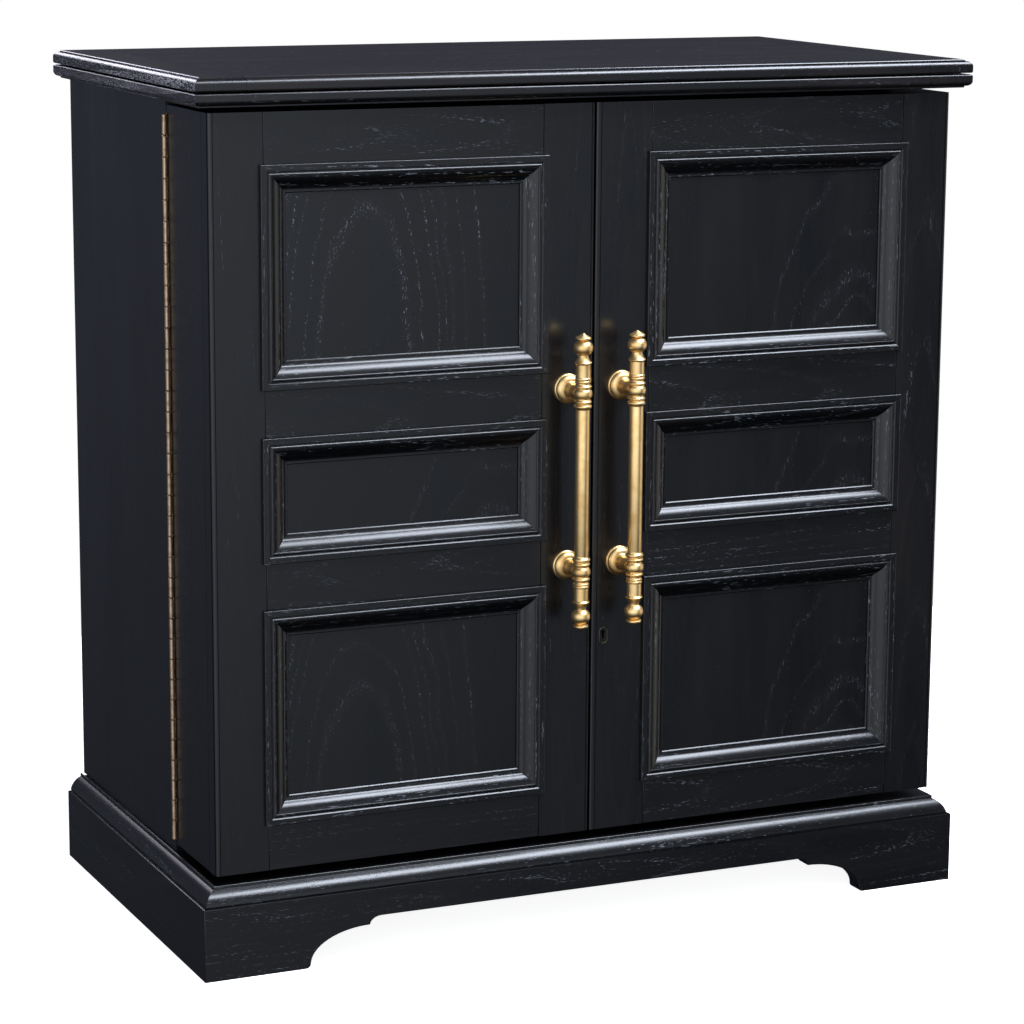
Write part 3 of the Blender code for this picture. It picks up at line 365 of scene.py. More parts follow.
@dataclass(frozen=True)
class EbonisedOak:
    """Plain-sawn oak, stained blue-black, its open pores filled with a pale wax, satin lacquered.

    Oak is ring porous: rows of long open pores follow the growth rings, so the eye sees short
    pale dashes along the grain, and nested arches where the saw crossed the rings.
    """

    ground: str = "#080A0D"
    warm: str = "#0D0B0D"
    ring_tint: str = "#121114"
    pore_wax: str = "#868D96"
    fleck: float = 0.12
    wax: float = 0.35
    ring_spacing: float = 9.0 * MM
    early_share: float = 0.35
    # The fibre pattern's level above which a pore opens, away from and within the spring growth.
    crowding: tuple[float, float] = (0.72, 0.58)
    pore_length: float = 9.0 * MM
    # Real pores are 0.3 mm wide; drawn at about 1 mm, the finest line that a view of the whole shows.
    pore_width: float = 1.1 * MM
    # Size of a streak in which the wax stayed, and of a cloud in the stain.
    streak: tuple[float, float, float] = (260 * MM, 22 * MM, 22 * MM)
    blotch: tuple[float, float, float] = (400 * MM, 60 * MM, 60 * MM)
    heart_depth: float = 26.0 * MM
    tilt: float = 3.0
    # Radius and width of each ring that shows, in metres; empty for evenly spaced rings.
    grown: tuple[tuple[float, float], ...] = ()
    roughness: float = 0.28
    specular: float = 0.5

    def early_wood(self, tree: Tree, place: Socket) -> Socket:
        """How much a point lies in the porous spring growth of a ring.

        Args:
            tree: node tree to add to.
            place: coordinates whose X axis is the heart of the log.

        Returns:
            The socket with 1 at the start of a ring, falling to 0.
        """
        if not self.grown:
            flat = add_shader(tree, "Mapping", {"Vector": place, "Scale": (0.1, 1, 1)}).outputs[0]
            # One turn of the Wave node's phase is one growth ring.
            rings = add_shader(tree, "TexWave", {
                "Vector": flat, "Scale": math.tau / 20 / self.ring_spacing, "Distortion": 1.6,
                "Detail": 2.0, "Detail Scale": 0.6, "Detail Roughness": 0.55,
            }, wave_type="RINGS", rings_direction="X", wave_profile="SAW").outputs["Fac"]
            return remapped(tree, rings, (0.0, self.early_share), (1.0, 0.0))
        flat = add_shader(tree, "Mapping", {"Vector": place, "Scale": (0, 1, 1)}).outputs[0]
        slow = add_shader(tree, "Mapping", {"Vector": place, "Scale": (12, 30, 30)}).outputs[0]
        radius = add_shader(tree, "VectorMath", {0: flat}, operation="LENGTH").outputs["Value"]
        # The noise wanders about its middle value, so every ring lies half a wander further out.
        wander = 16 * MM
        reach = 200 * MM
        uneven = computed(tree, "MULTIPLY_ADD", clouds(tree, slow, 2.0), wander, radius)
        stops = [(0.0, "#000000")]
        for start, width in self.grown:
            middle = start + wander / 2
            stops += [
                ((middle - width / 2) / reach, "#000000"), (middle / reach, "#FFFFFF"),
                ((middle + width / 2) / reach, "#000000"),
            ]
        return shaded(tree, computed(tree, "MULTIPLY", uneven, 1 / reach), stops)

    def material(
        self, name: str, low: Sequence[float], high: Sequence[float], grain: Grain,
        heart: Optional[tuple[float, float]] = None,
    ) -> Material:
        """The finish of one board, sawn from its own place in the log.

        Args:
            name: what the board is called.
            low: the board's lowest corner.
            high: the board's highest corner.
            grain: which way its fibres run.
            heart: shift of the figure along and across the board, or None for a chance one.

        Returns:
            A procedural material on Object coordinates.
        """
        chance = random.Random(name)
        turn = grain.turn()
        size = turn @ (Vector(high) - Vector(low))
        flat_is_second = abs(size.y) < abs(size.z)
        sideways = chance.uniform(-40, 40) * MM if heart is None else heart[1]
        lengthways = chance.uniform(-2, 2) if heart is None else heart[0]
        slope = math.radians(self.tilt)
        if flat_is_second:
            target = Vector((lengthways, self.heart_depth, sideways))
            lean = (0.0, 0.0, slope)
        else:
            target = Vector((lengthways, sideways, self.heart_depth))
            lean = (0.0, -slope, 0.0)
        shift = target - turn @ ((Vector(high) + Vector(low)) / 2)
        material, tree, output = empty_material("ebonised_oak_" + name)
        place = add_shader(tree, "TexCoord").outputs["Object"]
        board = add_shader(tree, "Mapping", {
            "Vector": place, "Rotation": grain.value, "Location": shift,
        }).outputs[0]
        leaned = add_shader(tree, "Mapping", {"Vector": board, "Rotation": lean}).outputs[0]
        early = self.early_wood(tree, leaned)
        dashes = spread(tree, board, (self.pore_length, self.pore_width, self.pore_width))
        fibres = clouds(tree, dashes, 1.0)
        crowd = remapped(tree, early, target=self.crowding)
        pores = remapped(tree, computed(tree, "SUBTRACT", fibres, crowd), (0.0, 0.07))
        # Wax stays in long streaks of pores and is wiped off elsewhere.
        streaks = clouds(tree, spread(tree, board, self.streak), 3.0, 0.6)
        wiped = (0.6 - 0.28 * self.fleck, 0.78 - 0.2 * self.fleck)
        waxed = computed(tree, "MULTIPLY", pores, remapped(tree, streaks, wiped, (0.05, 1.0)))
        tone = clouds(tree, spread(tree, board, self.blotch), 4.0, 0.65)
        stain = shaded(tree, tone, ((0.38, self.ground), (0.66, self.warm)))
        ringed = blended(tree, computed(tree, "MULTIPLY", early, 0.35), stain, linear(self.ring_tint))
        pale = computed(tree, "MULTIPLY", waxed, self.wax)
        gloss = remapped(tree, tone, (0.3, 0.7), (self.roughness - 0.04, self.roughness + 0.05))
        relief = computed(tree, "MULTIPLY_ADD", pores, -0.8, fibres)
        close_surface(tree, output, relief, (0.3, 0.1 * MM), {
            "Base Color": blended(tree, pale, ringed, linear(self.pore_wax)),
            "Roughness": computed(tree, "MULTIPLY_ADD", waxed, 0.22, gloss),
            "IOR": 1.5, "Specular IOR Level": self.specular,
        })
        return material


@dataclass(frozen=True)
class BrushedMetal:
    """A cast, drawn or turned metal part, satin brushed and lacquered, with patina in slow clouds of tone."""

    name: str
    bright: str
    dull: str
    roughness: float
    # Marks of the satin wheel are 0.1 mm apart; drawn 0.9 mm apart so that a close view shows them.
    mark_spacing: float = 0.9 * MM
    mark_length: float = 40.0 * MM
    patina_size: float = 22.0 * MM
    marks: float = 0.15

    def material(self) -> Material:
        """The metal, with wheel marks round its upright axis and slow changes of tone."""
        material, tree, output = empty_material(self.name)
        place = add_shader(tree, "TexCoord").outputs["Object"]
        rings = spread(tree, place, (self.mark_length, self.mark_length, self.mark_spacing))
        marks = clouds(tree, rings, 2.0, 0.6)
        patina = clouds(tree, place, 4.0, 0.6, 1 / self.patina_size)
        gloss = remapped(tree, patina, (0.3, 0.7), (self.roughness + 0.06, self.roughness - 0.03))
        close_surface(tree, output, marks, (self.marks, 0.05 * MM), {
            "Base Color": shaded(tree, patina, ((0.3, self.dull), (0.52, self.bright))),
            "Metallic": 1.0, "Roughness": computed(tree, "MULTIPLY_ADD", marks, 0.08, gloss),
        })
        return material


# Stiles, case sides and door boxes: straight grained, wiped almost clean of wax.
CARCASE_OAK = EbonisedOak()
# Rails: short boards in which more wax stayed.
RAIL_OAK = EbonisedOak(
    fleck=0.55, wax=0.42, pore_length=7 * MM, pore_width=0.9 * MM, heart_depth=18 * MM,
    crowding=(0.7, 0.57),
)
# Door panels: sawn across the rings, which show as nested arches.
PANEL_OAK = EbonisedOak(
    heart_depth=43.5 * MM, tilt=17.0, fleck=0.8, ring_tint="#1A161A", pore_length=3.5 * MM,
    pore_width=1.6 * MM, crowding=(0.76, 0.57),
    grown=tuple((radius * MM, width * MM) for radius, width in (
        (60, 14), (77, 5), (97, 5), (106, 4), (116, 10), (133, 5), (155, 7),
    )),
)
# Boards of the folding top, worn a little warmer.
TOP_OAK = EbonisedOak(fleck=0.5, heart_depth=55 * MM, warm="#151012")
# Plinth boards: short pores, evenly waxed.
PLINTH_OAK = EbonisedOak(
    fleck=0.55, wax=0.42, pore_length=6 * MM, pore_width=0.9 * MM, heart_depth=30 * MM,
    crowding=(0.7, 0.57),
)
# Moulded runs: the cutter opens more pores, so more wax stays.
MOULDING_OAK = EbonisedOak(fleck=0.8, wax=0.6, heart_depth=40 * MM, crowding=(0.7, 0.57))
# Shaped outer edges of the top's end boards: pale wax fills their crowded pores, and their lighter ground is
# painted light, standing in for the bright look of the lit ends.
EDGE_OAK_WAX_AND_PAINTED_LIGHT = EbonisedOak(
    fleck=1.0, wax=0.85, ground="#232027", warm="#2E262E", ring_tint="#3A333A", pore_wax="#D6D4DE",
    heart_depth=40 * MM, early_share=0.9, ring_spacing=4 * MM, crowding=(0.62, 0.46),
    pore_length=5 * MM,
)
# Boards that only show with the doors open: stained once, not lacquered.
INNER_OAK = EbonisedOak(ground="#15161A", warm="#1D191B", roughness=0.46)
# Bar pulls: turned from bar, satin brushed and lacquered.
SATIN_BRASS = BrushedMetal("satin_brass_turned", "#F9D698", "#E6BC78", 0.34)
# Door hinges, lock and small fittings: drawn brass gone dull.
AGED_BRASS = BrushedMetal("aged_brass_drawn", "#C8AC90", "#94785F", 0.38, patina_size=9 * MM)
# Escutcheon: cast brass, left as it came from the mould.
CAST_BRASS = BrushedMetal("aged_brass_cast", "#EACDA2", "#B8986E", 0.52, patina_size=9 * MM)
# Hinge between the two slabs of the top: rolled steel, chemically blacked.
BLACKENED_STEEL = BrushedMetal("blackened_steel_rolled", "#34353A", "#222328", 0.42, patina_size=12 * MM)


# ------------------------------------------------------------------ putting pieces on the frame

def node_box(node: str) -> tuple[Vector, Vector]:
    """Lowest and highest corner of a CAD node."""
    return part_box(node)


def shade(data: bpy.types.Mesh, smooth: float) -> None:
    """Shade rounds as one surface up to an angle in degrees, and keep broad flats flat."""
    data.shade_smooth()
    data.set_sharp_from_angle(angle=math.radians(smooth))
    narrow = 4.0 * MM
    for face in data.polygons:
        ends = [(data.vertices[a].co, data.vertices[b].co) for a, b in face.edge_keys]
        longest = max((first - second).length for first, second in ends)
        face.use_smooth = face.area < narrow * longest


def fit(
    name: str, mesh: Mesh, finishes: Sequence[Material], body: str,
    stands_for: Sequence[str] = (), smooth: float = 25.0,
) -> bpy.types.Object:
    """Turn a mesh into a piece that rides on a body.

    Args:
        name: the piece's name.
        mesh: its mesh, already in place; it is freed.
        finishes: materials, in the order of the mesh's finish numbers.
        body: the CAD body it moves with.
        stands_for: the CAD nodes it replaces.
        smooth: largest angle in degrees between faces shaded as one surface.

    Returns:
        The piece's object, at the origin.
    """
    bmesh.ops.remove_doubles(mesh, verts=mesh.verts, dist=5e-7)
    bmesh.ops.recalc_face_normals(mesh, faces=mesh.faces)
    data = bpy.data.meshes.new(name)
    mesh.to_mesh(data)
    mesh.free()
    shade(data, smooth)
    for finish in finishes:
        data.materials.append(finish)
    piece = bpy.data.objects.new(name, data)
    bpy.context.scene.collection.objects.link(piece)
    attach(piece, body)
    if stands_for:
        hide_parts(*stands_for)
    LOG.info("%s: %d faces on %s", name, len(data.polygons), body)
    return piece


def dress(node: str, material: Material) -> None:
    """Give a CAD node that stays in view a better material."""
    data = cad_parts[node].data
    data.materials.clear()
    data.materials.append(material)
    LOG.info("%s dressed in %s", node, material.name)


def fit_oak(
    node: str, body: str, mesh: Mesh, oak: EbonisedOak, grain: Grain,
    heart: Optional[tuple[float, float]] = None,
) -> bpy.types.Object:
    """Replace a CAD node with a shaped board of its own.

    Args:
        node: the CAD node.
        body: the body it moves with.
        mesh: the board, already in place; it is freed.
        oak: its finish.
        grain: which way its fibres run.
        heart: shift of the figure, as in EbonisedOak.material.

    Returns:
        The board's object.
    """
    material = oak.material(node, *node_box(node), grain, heart)
    return fit(node + "_board", mesh, [material], body, [node])


def fit_board(
    node: str, body: str, grain: Grain, oak: EbonisedOak = CARCASE_OAK, ease: float = 0.5 * MM,
    heart: Optional[tuple[float, float]] = None, shrink: float = 0.0,
) -> None:
    """Replace a board-shaped CAD node with an eased board, as fit_oak does.

    Args:
        node: the CAD node.
        body: the body it moves with.
        grain: which way its fibres run.
        oak: its finish.
        ease: width taken off each arris.
        heart: shift of the figure.
        shrink: how far the board has drawn back from its joints at both ends.
    """
    low, high = node_box(node)
    drawn = Vector((shrink, 0, 0))
    fit_oak(node, body, eased_board(low + drawn, high - drawn, ease), oak, grain, heart)


def fit_runs(node: str, body: str, section: Section, runs: Sequence[tuple[Setting, ...]]) -> None:
    """Replace a CAD node with runs of moulding, mitred where they meet.

    Args:
        node: the CAD node.
        body: the body it moves with.
        section: the moulding's outline, as in mitred_run.
        runs: for each run its label, grain, origin, direction, inset, length and mitres.
    """
    box = node_box(node)
    parts = []
    finishes = []
    for number, (label, grain, origin, along, inset, length, mitres) in enumerate(runs):
        parts.append((mitred_run(section, length, run_place(origin, along, inset), mitres), number))
        finishes.append(MOULDING_OAK.material(node + "_" + label, *box, grain))
    fit(node + "_runs", gathered(parts), finishes, body, [node])


# ------------------------------------------------------------------ plinth and carcase

@dataclass
class Plinth:
    """Bracket-foot plinth with its ovolo moulding, deck and glue blocks."""

    foot_width: float = 128.5 * MM
    nose: tuple[float, float] = (6.5 * MM, 5.0 * MM)
    arch: tuple[float, float] = (77.0 * MM, 40.0 * MM)
    step: tuple[float, float] = (15.0 * MM, 10.0 * MM)
    ease: float = 0.9 * MM
    ovolo: tuple[float, float] = (13.8 * MM, 15.5 * MM)
    toe: float = 2.5 * MM
    block_leg: float = 34.0 * MM
    block_gap: float = 0.5 * MM

    def outline(self, half: float, height: float) -> Section:
        """Front board in (x, z): flat feet, quarter arches with a nose, and a raised middle."""
        toe_x = half - self.foot_width
        heel_x = toe_x - self.nose[0]
        crown_x = heel_x - self.arch[0]
        right = Section([(half, 0.0)])
        right.sweep((toe_x, self.nose[1]), self.nose, 270, 180, 4)
        right.sweep((crown_x, self.nose[1]), self.arch, 0, 90, 16)
        right.points.pop(-17)
        right.sweep((crown_x - self.step[0], self.nose[1] + self.arch[1]), self.step, 0, 90, 5)
        right.points.pop(-6)
        left = [(-x, z) for x, z in reversed(right.points)]
        return Section(right.points + left + [(-half, height), (half, height)])

    def build_boards(self) -> None:
        """Front board and the two sides, mitred at the front corners."""
        low, high = node_box("plinth_front")
        thick = high.y - low.y
        front = extruded(self.outline(high.x, high.z), thick)
        # The outline is drawn in (x, z), so its push runs backwards along +Y once stood up.
        moved(front, Matrix.Translation((0, high.y, 0)) @ Matrix.Rotation(math.pi / 2, 4, "X"))
        for side in (-1, 1):
            cut_away(front, (side * high.x, low.y + 0.05 * MM, 0), (side, 1, 0))
        ease_arrises(front, self.ease)
        fit_oak("plinth_front", "carcase", front, PLINTH_OAK, Grain.SIDEWAYS)
        for side, node in ((-1, "plinth_side_left"), (1, "plinth_side_right")):
            low, high = node_box(node)
            outer = low.x if side < 0 else high.x
            board = eased_board(low, high, self.ease)
            corner = (outer, low.y + 0.05 * MM, 0)
            cut_away(board, corner, (-side, -1, 0))
            fit_oak(node, "carcase", board, PLINTH_OAK, Grain.DEEP)

    def build_moulding(self) -> None:
        """The ovolo run round the front and the sides, mitred and standing on the plinth."""
        low, high = node_box("base_moulding")
        floor = node_box("plinth_front")[1].z
        bottom = low.z - floor
        top = high.z - floor
        ledge = self.ovolo[0] + 1.7 * MM
        section = Section([(ledge, bottom), (0.4 * MM, bottom), (0.0, bottom + 0.4 * MM)])
        # The cutter's radius is larger than the moulding, so the round starts and ends at an angle.
        start, end = math.radians(165), math.radians(110)
        radius_in = self.ovolo[0] / (math.cos(end) - math.cos(start))
        radius_up = self.ovolo[1] / (math.sin(end) - math.sin(start))
        centre = (-radius_in * math.cos(start), self.toe - radius_up * math.sin(start))
        section.sweep(centre, (radius_in, radius_up), 165, 110, 14)
        section.sweep((self.ovolo[0] + 0.6 * MM, top - 0.6 * MM), (0.6 * MM, 0.6 * MM), 180, 90, 3)
        section.to((ledge, top))
        deep = high.y - low.y
        wide = high.x - low.x
        back, forward, left, right = (0, 1, 0), (0, -1, 0), (-1, 0, 0), (1, 0, 0)
        runs = (
            ("left", Grain.DEEP, (low.x, high.y, floor), forward, right, deep, (False, True)),
            ("front", Grain.SIDEWAYS, (low.x, low.y, floor), right, back, wide, (True, True)),
            ("right", Grain.DEEP, (high.x, low.y, floor), back, left, deep, (True, False)),
        )
        fit_runs("base_moulding", "carcase", section, runs)

    def build_blocks(self) -> None:
        """Glue blocks in the plinth's front corners, sawn across to three-cornered sticks."""
        low, high = node_box("plinth_front")
        height = high.z
        parts = []
        for side in (-1, 1):
            inner = high.x - (high.y - low.y) - self.block_gap
            corner = Section([(0, 0), (-side * self.block_leg, 0), (0, self.block_leg)])
            block = ease_arrises(extruded(corner, height - 6 * MM), 0.6 * MM)
            spot = Matrix.Translation((side * inner, high.y + self.block_gap, 3 * MM))
            parts.append((moved(block, spot), 0))
        material = INNER_OAK.material("glue_blocks", low, high, Grain.UPRIGHT)
        fit("plinth_glue_blocks", gathered(parts), [material], "carcase")

    def build(self) -> None:
        """Build the whole plinth."""
        self.build_boards()
        self.build_moulding()
        self.build_blocks()
        fit_board("base_deck", "carcase", Grain.SIDEWAYS, ease=0.8 * MM)


@dataclass
class Carcase:
    """The fixed case behind the doors."""

    shelf_lipping: float = 9.0 * MM
    pin_radius: float = 3.0 * MM
    pin_length: float = 8.0 * MM
    pin_setback: float = 45.0 * MM
    screw_radius: float = 3.2 * MM
    screw_levels: tuple[float, ...] = (0.16, 0.45, 0.75, 0.98)
    screw_margin: float = 12.0 * MM

    def build_shelf(self) -> None:
        """The shelf with a solid lipping along its front, on four brass pins."""
        low, high = node_box("case_shelf")
        joint = low.y + self.shelf_lipping
        lipping = eased_board(low, (high.x, joint, high.z), 1.2 * MM)
        field_board = eased_board((low.x, joint + 0.05 * MM, low.z), high, 0.3 * MM)
        finishes = [
            CARCASE_OAK.material("shelf_lipping", low, high, Grain.SIDEWAYS),
            INNER_OAK.material("shelf_field", low, high, Grain.SIDEWAYS),
        ]
        parts = [(lipping, 0), (field_board, 1)]
        fit("case_shelf_board", gathered(parts), finishes, "carcase", ["case_shelf"])
        pins = []
        for side in (-1, 1):
            for depth in (low.y + self.pin_setback, high.y - self.pin_setback):
                pin = Section([(0.0, 0.0), (self.pin_radius, 0.0), (self.pin_radius, self.pin_length)])
                pin.to((self.pin_radius * 0.8, self.pin_length + 1 * MM), (0.0, self.pin_length + 1.2 * MM))
                turn = Matrix.Rotation(-side * math.pi / 2, 4, "Y")
                spot = Vector((side * high.x, depth, low.z - self.pin_radius - 0.2 * MM))
                pins.append((moved(turned(pin, 16), Matrix.Translation(spot) @ turn), 0))
        fit("shelf_pins", gathered(pins), [AGED_BRASS.material()], "carcase")

    def build_back_screws(self) -> None:
        """Screws round the edge of the back panel."""
        low, high = node_box("case_back")
        edges = (low.x + self.screw_margin, high.x - self.screw_margin)
        spots = [(x, z) for z in self.screw_levels for x in edges]
        spots += [(x, z) for x in (-0.22, 0.0, 0.22) for z in (0.14, high.z - 14 * MM)]
        places = [((x, high.y + 0.4 * MM, z), x * 9 + z * 7) for x, z in spots]
        heads = driven_screws(self.screw_radius, -math.pi / 2, places)
        fit("back_panel_screws", heads, [AGED_BRASS.material()], "carcase")

    def build(self) -> None:
        """Build the sides, the back and the shelf."""
        for node in ("case_side_left", "case_side_right"):
            fit_board(node, "carcase", Grain.UPRIGHT, ease=0.8 * MM, heart=(0.2, 30 * MM))
        low, high = node_box("case_back")
        dress("case_back", INNER_OAK.material("case_back", low, high, Grain.UPRIGHT))
        self.build_shelf()
        self.build_back_screws()


# ------------------------------------------------------------------ folding top

@dataclass
class FoldingTop:
    """Two equal slabs with breadboard ends, the upper one folding over about the back edge."""

    end_board: float = 62.0 * MM
    rounding: float = 6.2 * MM
    arris: float = 2.2 * MM
    step_height: float = 2.2 * MM
    step_inset: float = 7.4 * MM

    def levels(self, outer: float, inner: float) -> list[tuple[float, float]]:
        """Insets and heights of a slab's edge, from its stepped face to its plain face."""
        sign = 1.0 if inner > outer else -1.0
        edge = Section([(self.step_inset + 0.7 * MM, 0.0), (self.step_inset, 0.7 * MM)])
        edge.to((self.step_inset, self.step_height))
        middle = (self.rounding, self.step_height + self.rounding)
        edge.sweep(middle, (self.rounding, self.rounding), 270, 180, 10)
        thick = abs(inner - outer)
        edge.sweep((self.arris, thick - self.arris), (self.arris, self.arris), 180, 90, 6)
        return [(inset, outer + sign * rise) for inset, rise in edge.points]

    def slab(self, low: Vector, high: Vector, levels: Sequence[tuple[float, float]]) -> Mesh:
        """Extrude a rectangle from level to level, drawn in by each level's inset."""
        centre = (low + high) / 2
        half = (high - low) / 2
        mesh = bmesh.new()
        bmesh.ops.create_grid(mesh, x_segments=1, y_segments=1, size=1.0)
        top = mesh.faces[:]
        for number, (inset, height) in enumerate(levels):
            if number:
                grown = bmesh.ops.extrude_face_region(mesh, geom=top, use_keep_orig=number == 1)
                top = [item for item in grown["geom"] if isinstance(item, bmesh.types.BMFace)]
            for corner in top[0].verts:
                corner.co.x = centre.x + math.copysign(half.x - inset, corner.co.x - centre.x * (number > 0))
                corner.co.y = centre.y + math.copysign(half.y - inset, corner.co.y - centre.y * (number > 0))
                corner.co.z = height
        return mesh

    def build_slab(self, node: str, body: str, stepped_up: bool) -> None:
        """One slab as a middle board and two cross-grained ends, joined with a fine line."""
        low, high = node_box(node)
        levels = self.levels(high.z, low.z) if stepped_up else self.levels(low.z, high.z)
        joint = high.x - self.end_board
        parts = []
        for side in (-1, 1):
            end = self.slab(low, high, levels)
            cut_away(end, (side * joint, 0, 0), (-side, 0, 0))
            parts.append((end, 1 if side < 0 else 2))
        middle = self.slab(low, high, levels)
        for side in (-1, 1):
            cut_away(middle, (side * (joint - 0.3 * MM), 0, 0), (side, 0, 0))
        parts.append((middle, 0))
        whole = gathered(parts)
        # The end boards' outer edges are open grain that has taken the most wax; their finish also carries a
        # lighter ground, painted light for the lit look of the ends.
        whole.normal_update()
        for face in whole.faces:
            outer = abs(face.calc_center_median().x) > high.x - self.end_board / 2
            if face.material_index and outer and abs(face.normal.x) > 0.3:
                face.material_index = 3
        finishes = [
            TOP_OAK.material(node + "_middle", low, high, Grain.SIDEWAYS),
            TOP_OAK.material(node + "_end_left", low, high, Grain.DEEP),
            TOP_OAK.material(node + "_end_right", low, high, Grain.DEEP),
            EDGE_OAK_WAX_AND_PAINTED_LIGHT.material(node + "_edges", low, high, Grain.DEEP),
        ]
        fit(node + "_slab", whole, finishes, body, [node])

    def build(self) -> None:
        """Build both slabs."""
        self.build_slab("top_fixed_panel", "carcase", stepped_up=False)
        self.build_slab("top_leaf_panel", "top_leaf", stepped_up=True)


# ------------------------------------------------------------------ continuous hinges

@dataclass
class ContinuousHinge:
    """Knuckles, pin, two plates and their screws.

    Local frame: the pin runs along +Z from the origin, both plates lie towards +X and the
    fixed plate is on the +Y side.
    """

    radius: float
    pin: float
    pitch: float
    knuckles: int
    plate: float
    reach: float
    place: Matrix
    screw_every: int
    screw_radius: float
    gap: float = 0.3 * MM

    def knuckle(self, number: int) -> Mesh:
        """One rolled knuckle with its ends eased."""
        low = number * self.pitch + self.gap / 2
        high = (number + 1) * self.pitch - self.gap / 2
        bore = self.pin + 0.15 * MM
        soft = self.radius * 0.3
        wall = Section([
            (bore, low), (self.radius - soft, low), (self.radius, low + soft),
            (self.radius, high - soft), (self.radius - soft, high), (bore, high), (bore, low),
        ])
        return turned(wall, 14)

    def leaf_plate(self, own: int) -> Mesh:
        """A plate with a tab at every second knuckle; own is 0 for fixed, 1 for moving."""
        side = 1.0 if own == 0 else -1.0
        clear = self.radius + self.gap
        tab = self.radius * 0.72
        outline = Section([(self.reach, 0.0), (self.reach, self.knuckles * self.pitch)])
        outline.to((clear, self.knuckles * self.pitch))
        for number in reversed(range(self.knuckles)):
            if number % 2 == own:
                low = number * self.pitch + self.gap / 2
                high = (number + 1) * self.pitch - self.gap / 2
                outline.to((clear, high), (tab, high), (tab, low), (clear, low))
        outline.to((clear, 0.0))
        clean = []
        for point in outline.points:
            if not clean or math.dist(point, clean[-1]) > 0.01 * MM:
                clean.append(point)
        mesh = extruded(Section(clean), side * self.plate)
        # The outline is drawn as (across, along); this turn stands it up beside the pin.
        turn = Matrix(((1, 0, 0), (0, 0, 1), (0, 1, 0))).to_4x4()
        return moved(mesh, Matrix.Translation((0, side * self.gap / 2, 0)) @ turn)

    def screws(self, own: int) -> Mesh:
        """Countersunk screws down one plate, just proud of its inner face."""
        side = 1.0 if own == 0 else -1.0
        across = (self.radius + self.gap + self.reach) / 2
        deep = side * (self.gap / 2 - 0.06 * MM)
        rows = range(1 + own, self.knuckles, self.screw_every)
        places = [((across, deep, (row + 0.5) * self.pitch), row * 1.1) for row in rows]
        return driven_screws(self.screw_radius, side * math.pi / 2, places)

    def build(self, nodes: tuple[str, str], bodies: tuple[str, str], metal: BrushedMetal, slot: str) -> None:
        """Fit the fixed and the moving leaf.

        Args:
            nodes: CAD nodes of the fixed and the moving leaf.
            bodies: the bodies that they move with.
            metal: finish of the leaves.
            slot: not used.
        """
        material = metal.material()
        for own in (0, 1):
            parts = [(self.knuckle(number), 0) for number in range(own, self.knuckles, 2)]
            if own == 0:
                length = self.knuckles * self.pitch - self.gap / 2
                start = self.gap / 2
                rod = Section([(0.0, start), (self.pin, start), (self.pin, length), (0.0, length)])
                parts.append((turned(rod, 12), 0))
            parts.append((self.leaf_plate(own), 0))
            whole = moved(gathered(parts), self.place)
            fit(nodes[own] + "_metal", whole, [material], bodies[own], [nodes[own]])
            screws = moved(self.screws(own), self.place)
            fit(nodes[own] + "_screws", screws, [material], bodies[own])


def build_hinges() -> None:
    """The two door hinges and the hinge in the groove of the top."""
    radius = 3.0 * MM
    knuckles = 35
    for side, label in ((-1, "left"), (1, "right")):
        fixed = label + "_hinge_case_leaf"
        low, high = node_box(fixed)
        pin_x = low.x + radius if side < 0 else high.x - radius
        reach = (high.x - pin_x) if side < 0 else (pin_x - low.x)
        hinge = ContinuousHinge(
            radius, pin=1.2 * MM, pitch=(high.z - low.z) / knuckles, knuckles=knuckles, plate=1.0 * MM,
            reach=reach, screw_every=4, screw_radius=2.6 * MM,
            place=Matrix.Translation((pin_x, low.y + radius, low.z)) @ Matrix.Diagonal((-side, 1, 1, 1)),
        )
        nodes = (fixed, label + "_door_hinge_leaf")
        hinge.build(nodes, ("carcase", label + "_door"), AGED_BRASS, "aged_brass")
    low, high = node_box("top_hinge_fixed_leaf")
    radius = 2.0 * MM
    knuckles = 19
    turn = Matrix(((0, 0, 1, 0), (-1, 0, 0, 0), (0, -1, 0, 0), (0, 0, 0, 1)))
    hinge = ContinuousHinge(
        radius, pin=0.8 * MM, pitch=(high.x - low.x) / knuckles, knuckles=knuckles, plate=0.5 * MM,
        reach=high.y - low.y - radius, screw_every=2, screw_radius=2.4 * MM,
        place=Matrix.Translation((low.x, high.y - radius, high.z - radius)) @ turn,
    )
    nodes = ("top_hinge_fixed_leaf", "top_hinge_moving_leaf")
    hinge.build(nodes, ("carcase", "top_leaf"), BLACKENED_STEEL, "dark_steel")


# ------------------------------------------------------------------ doors

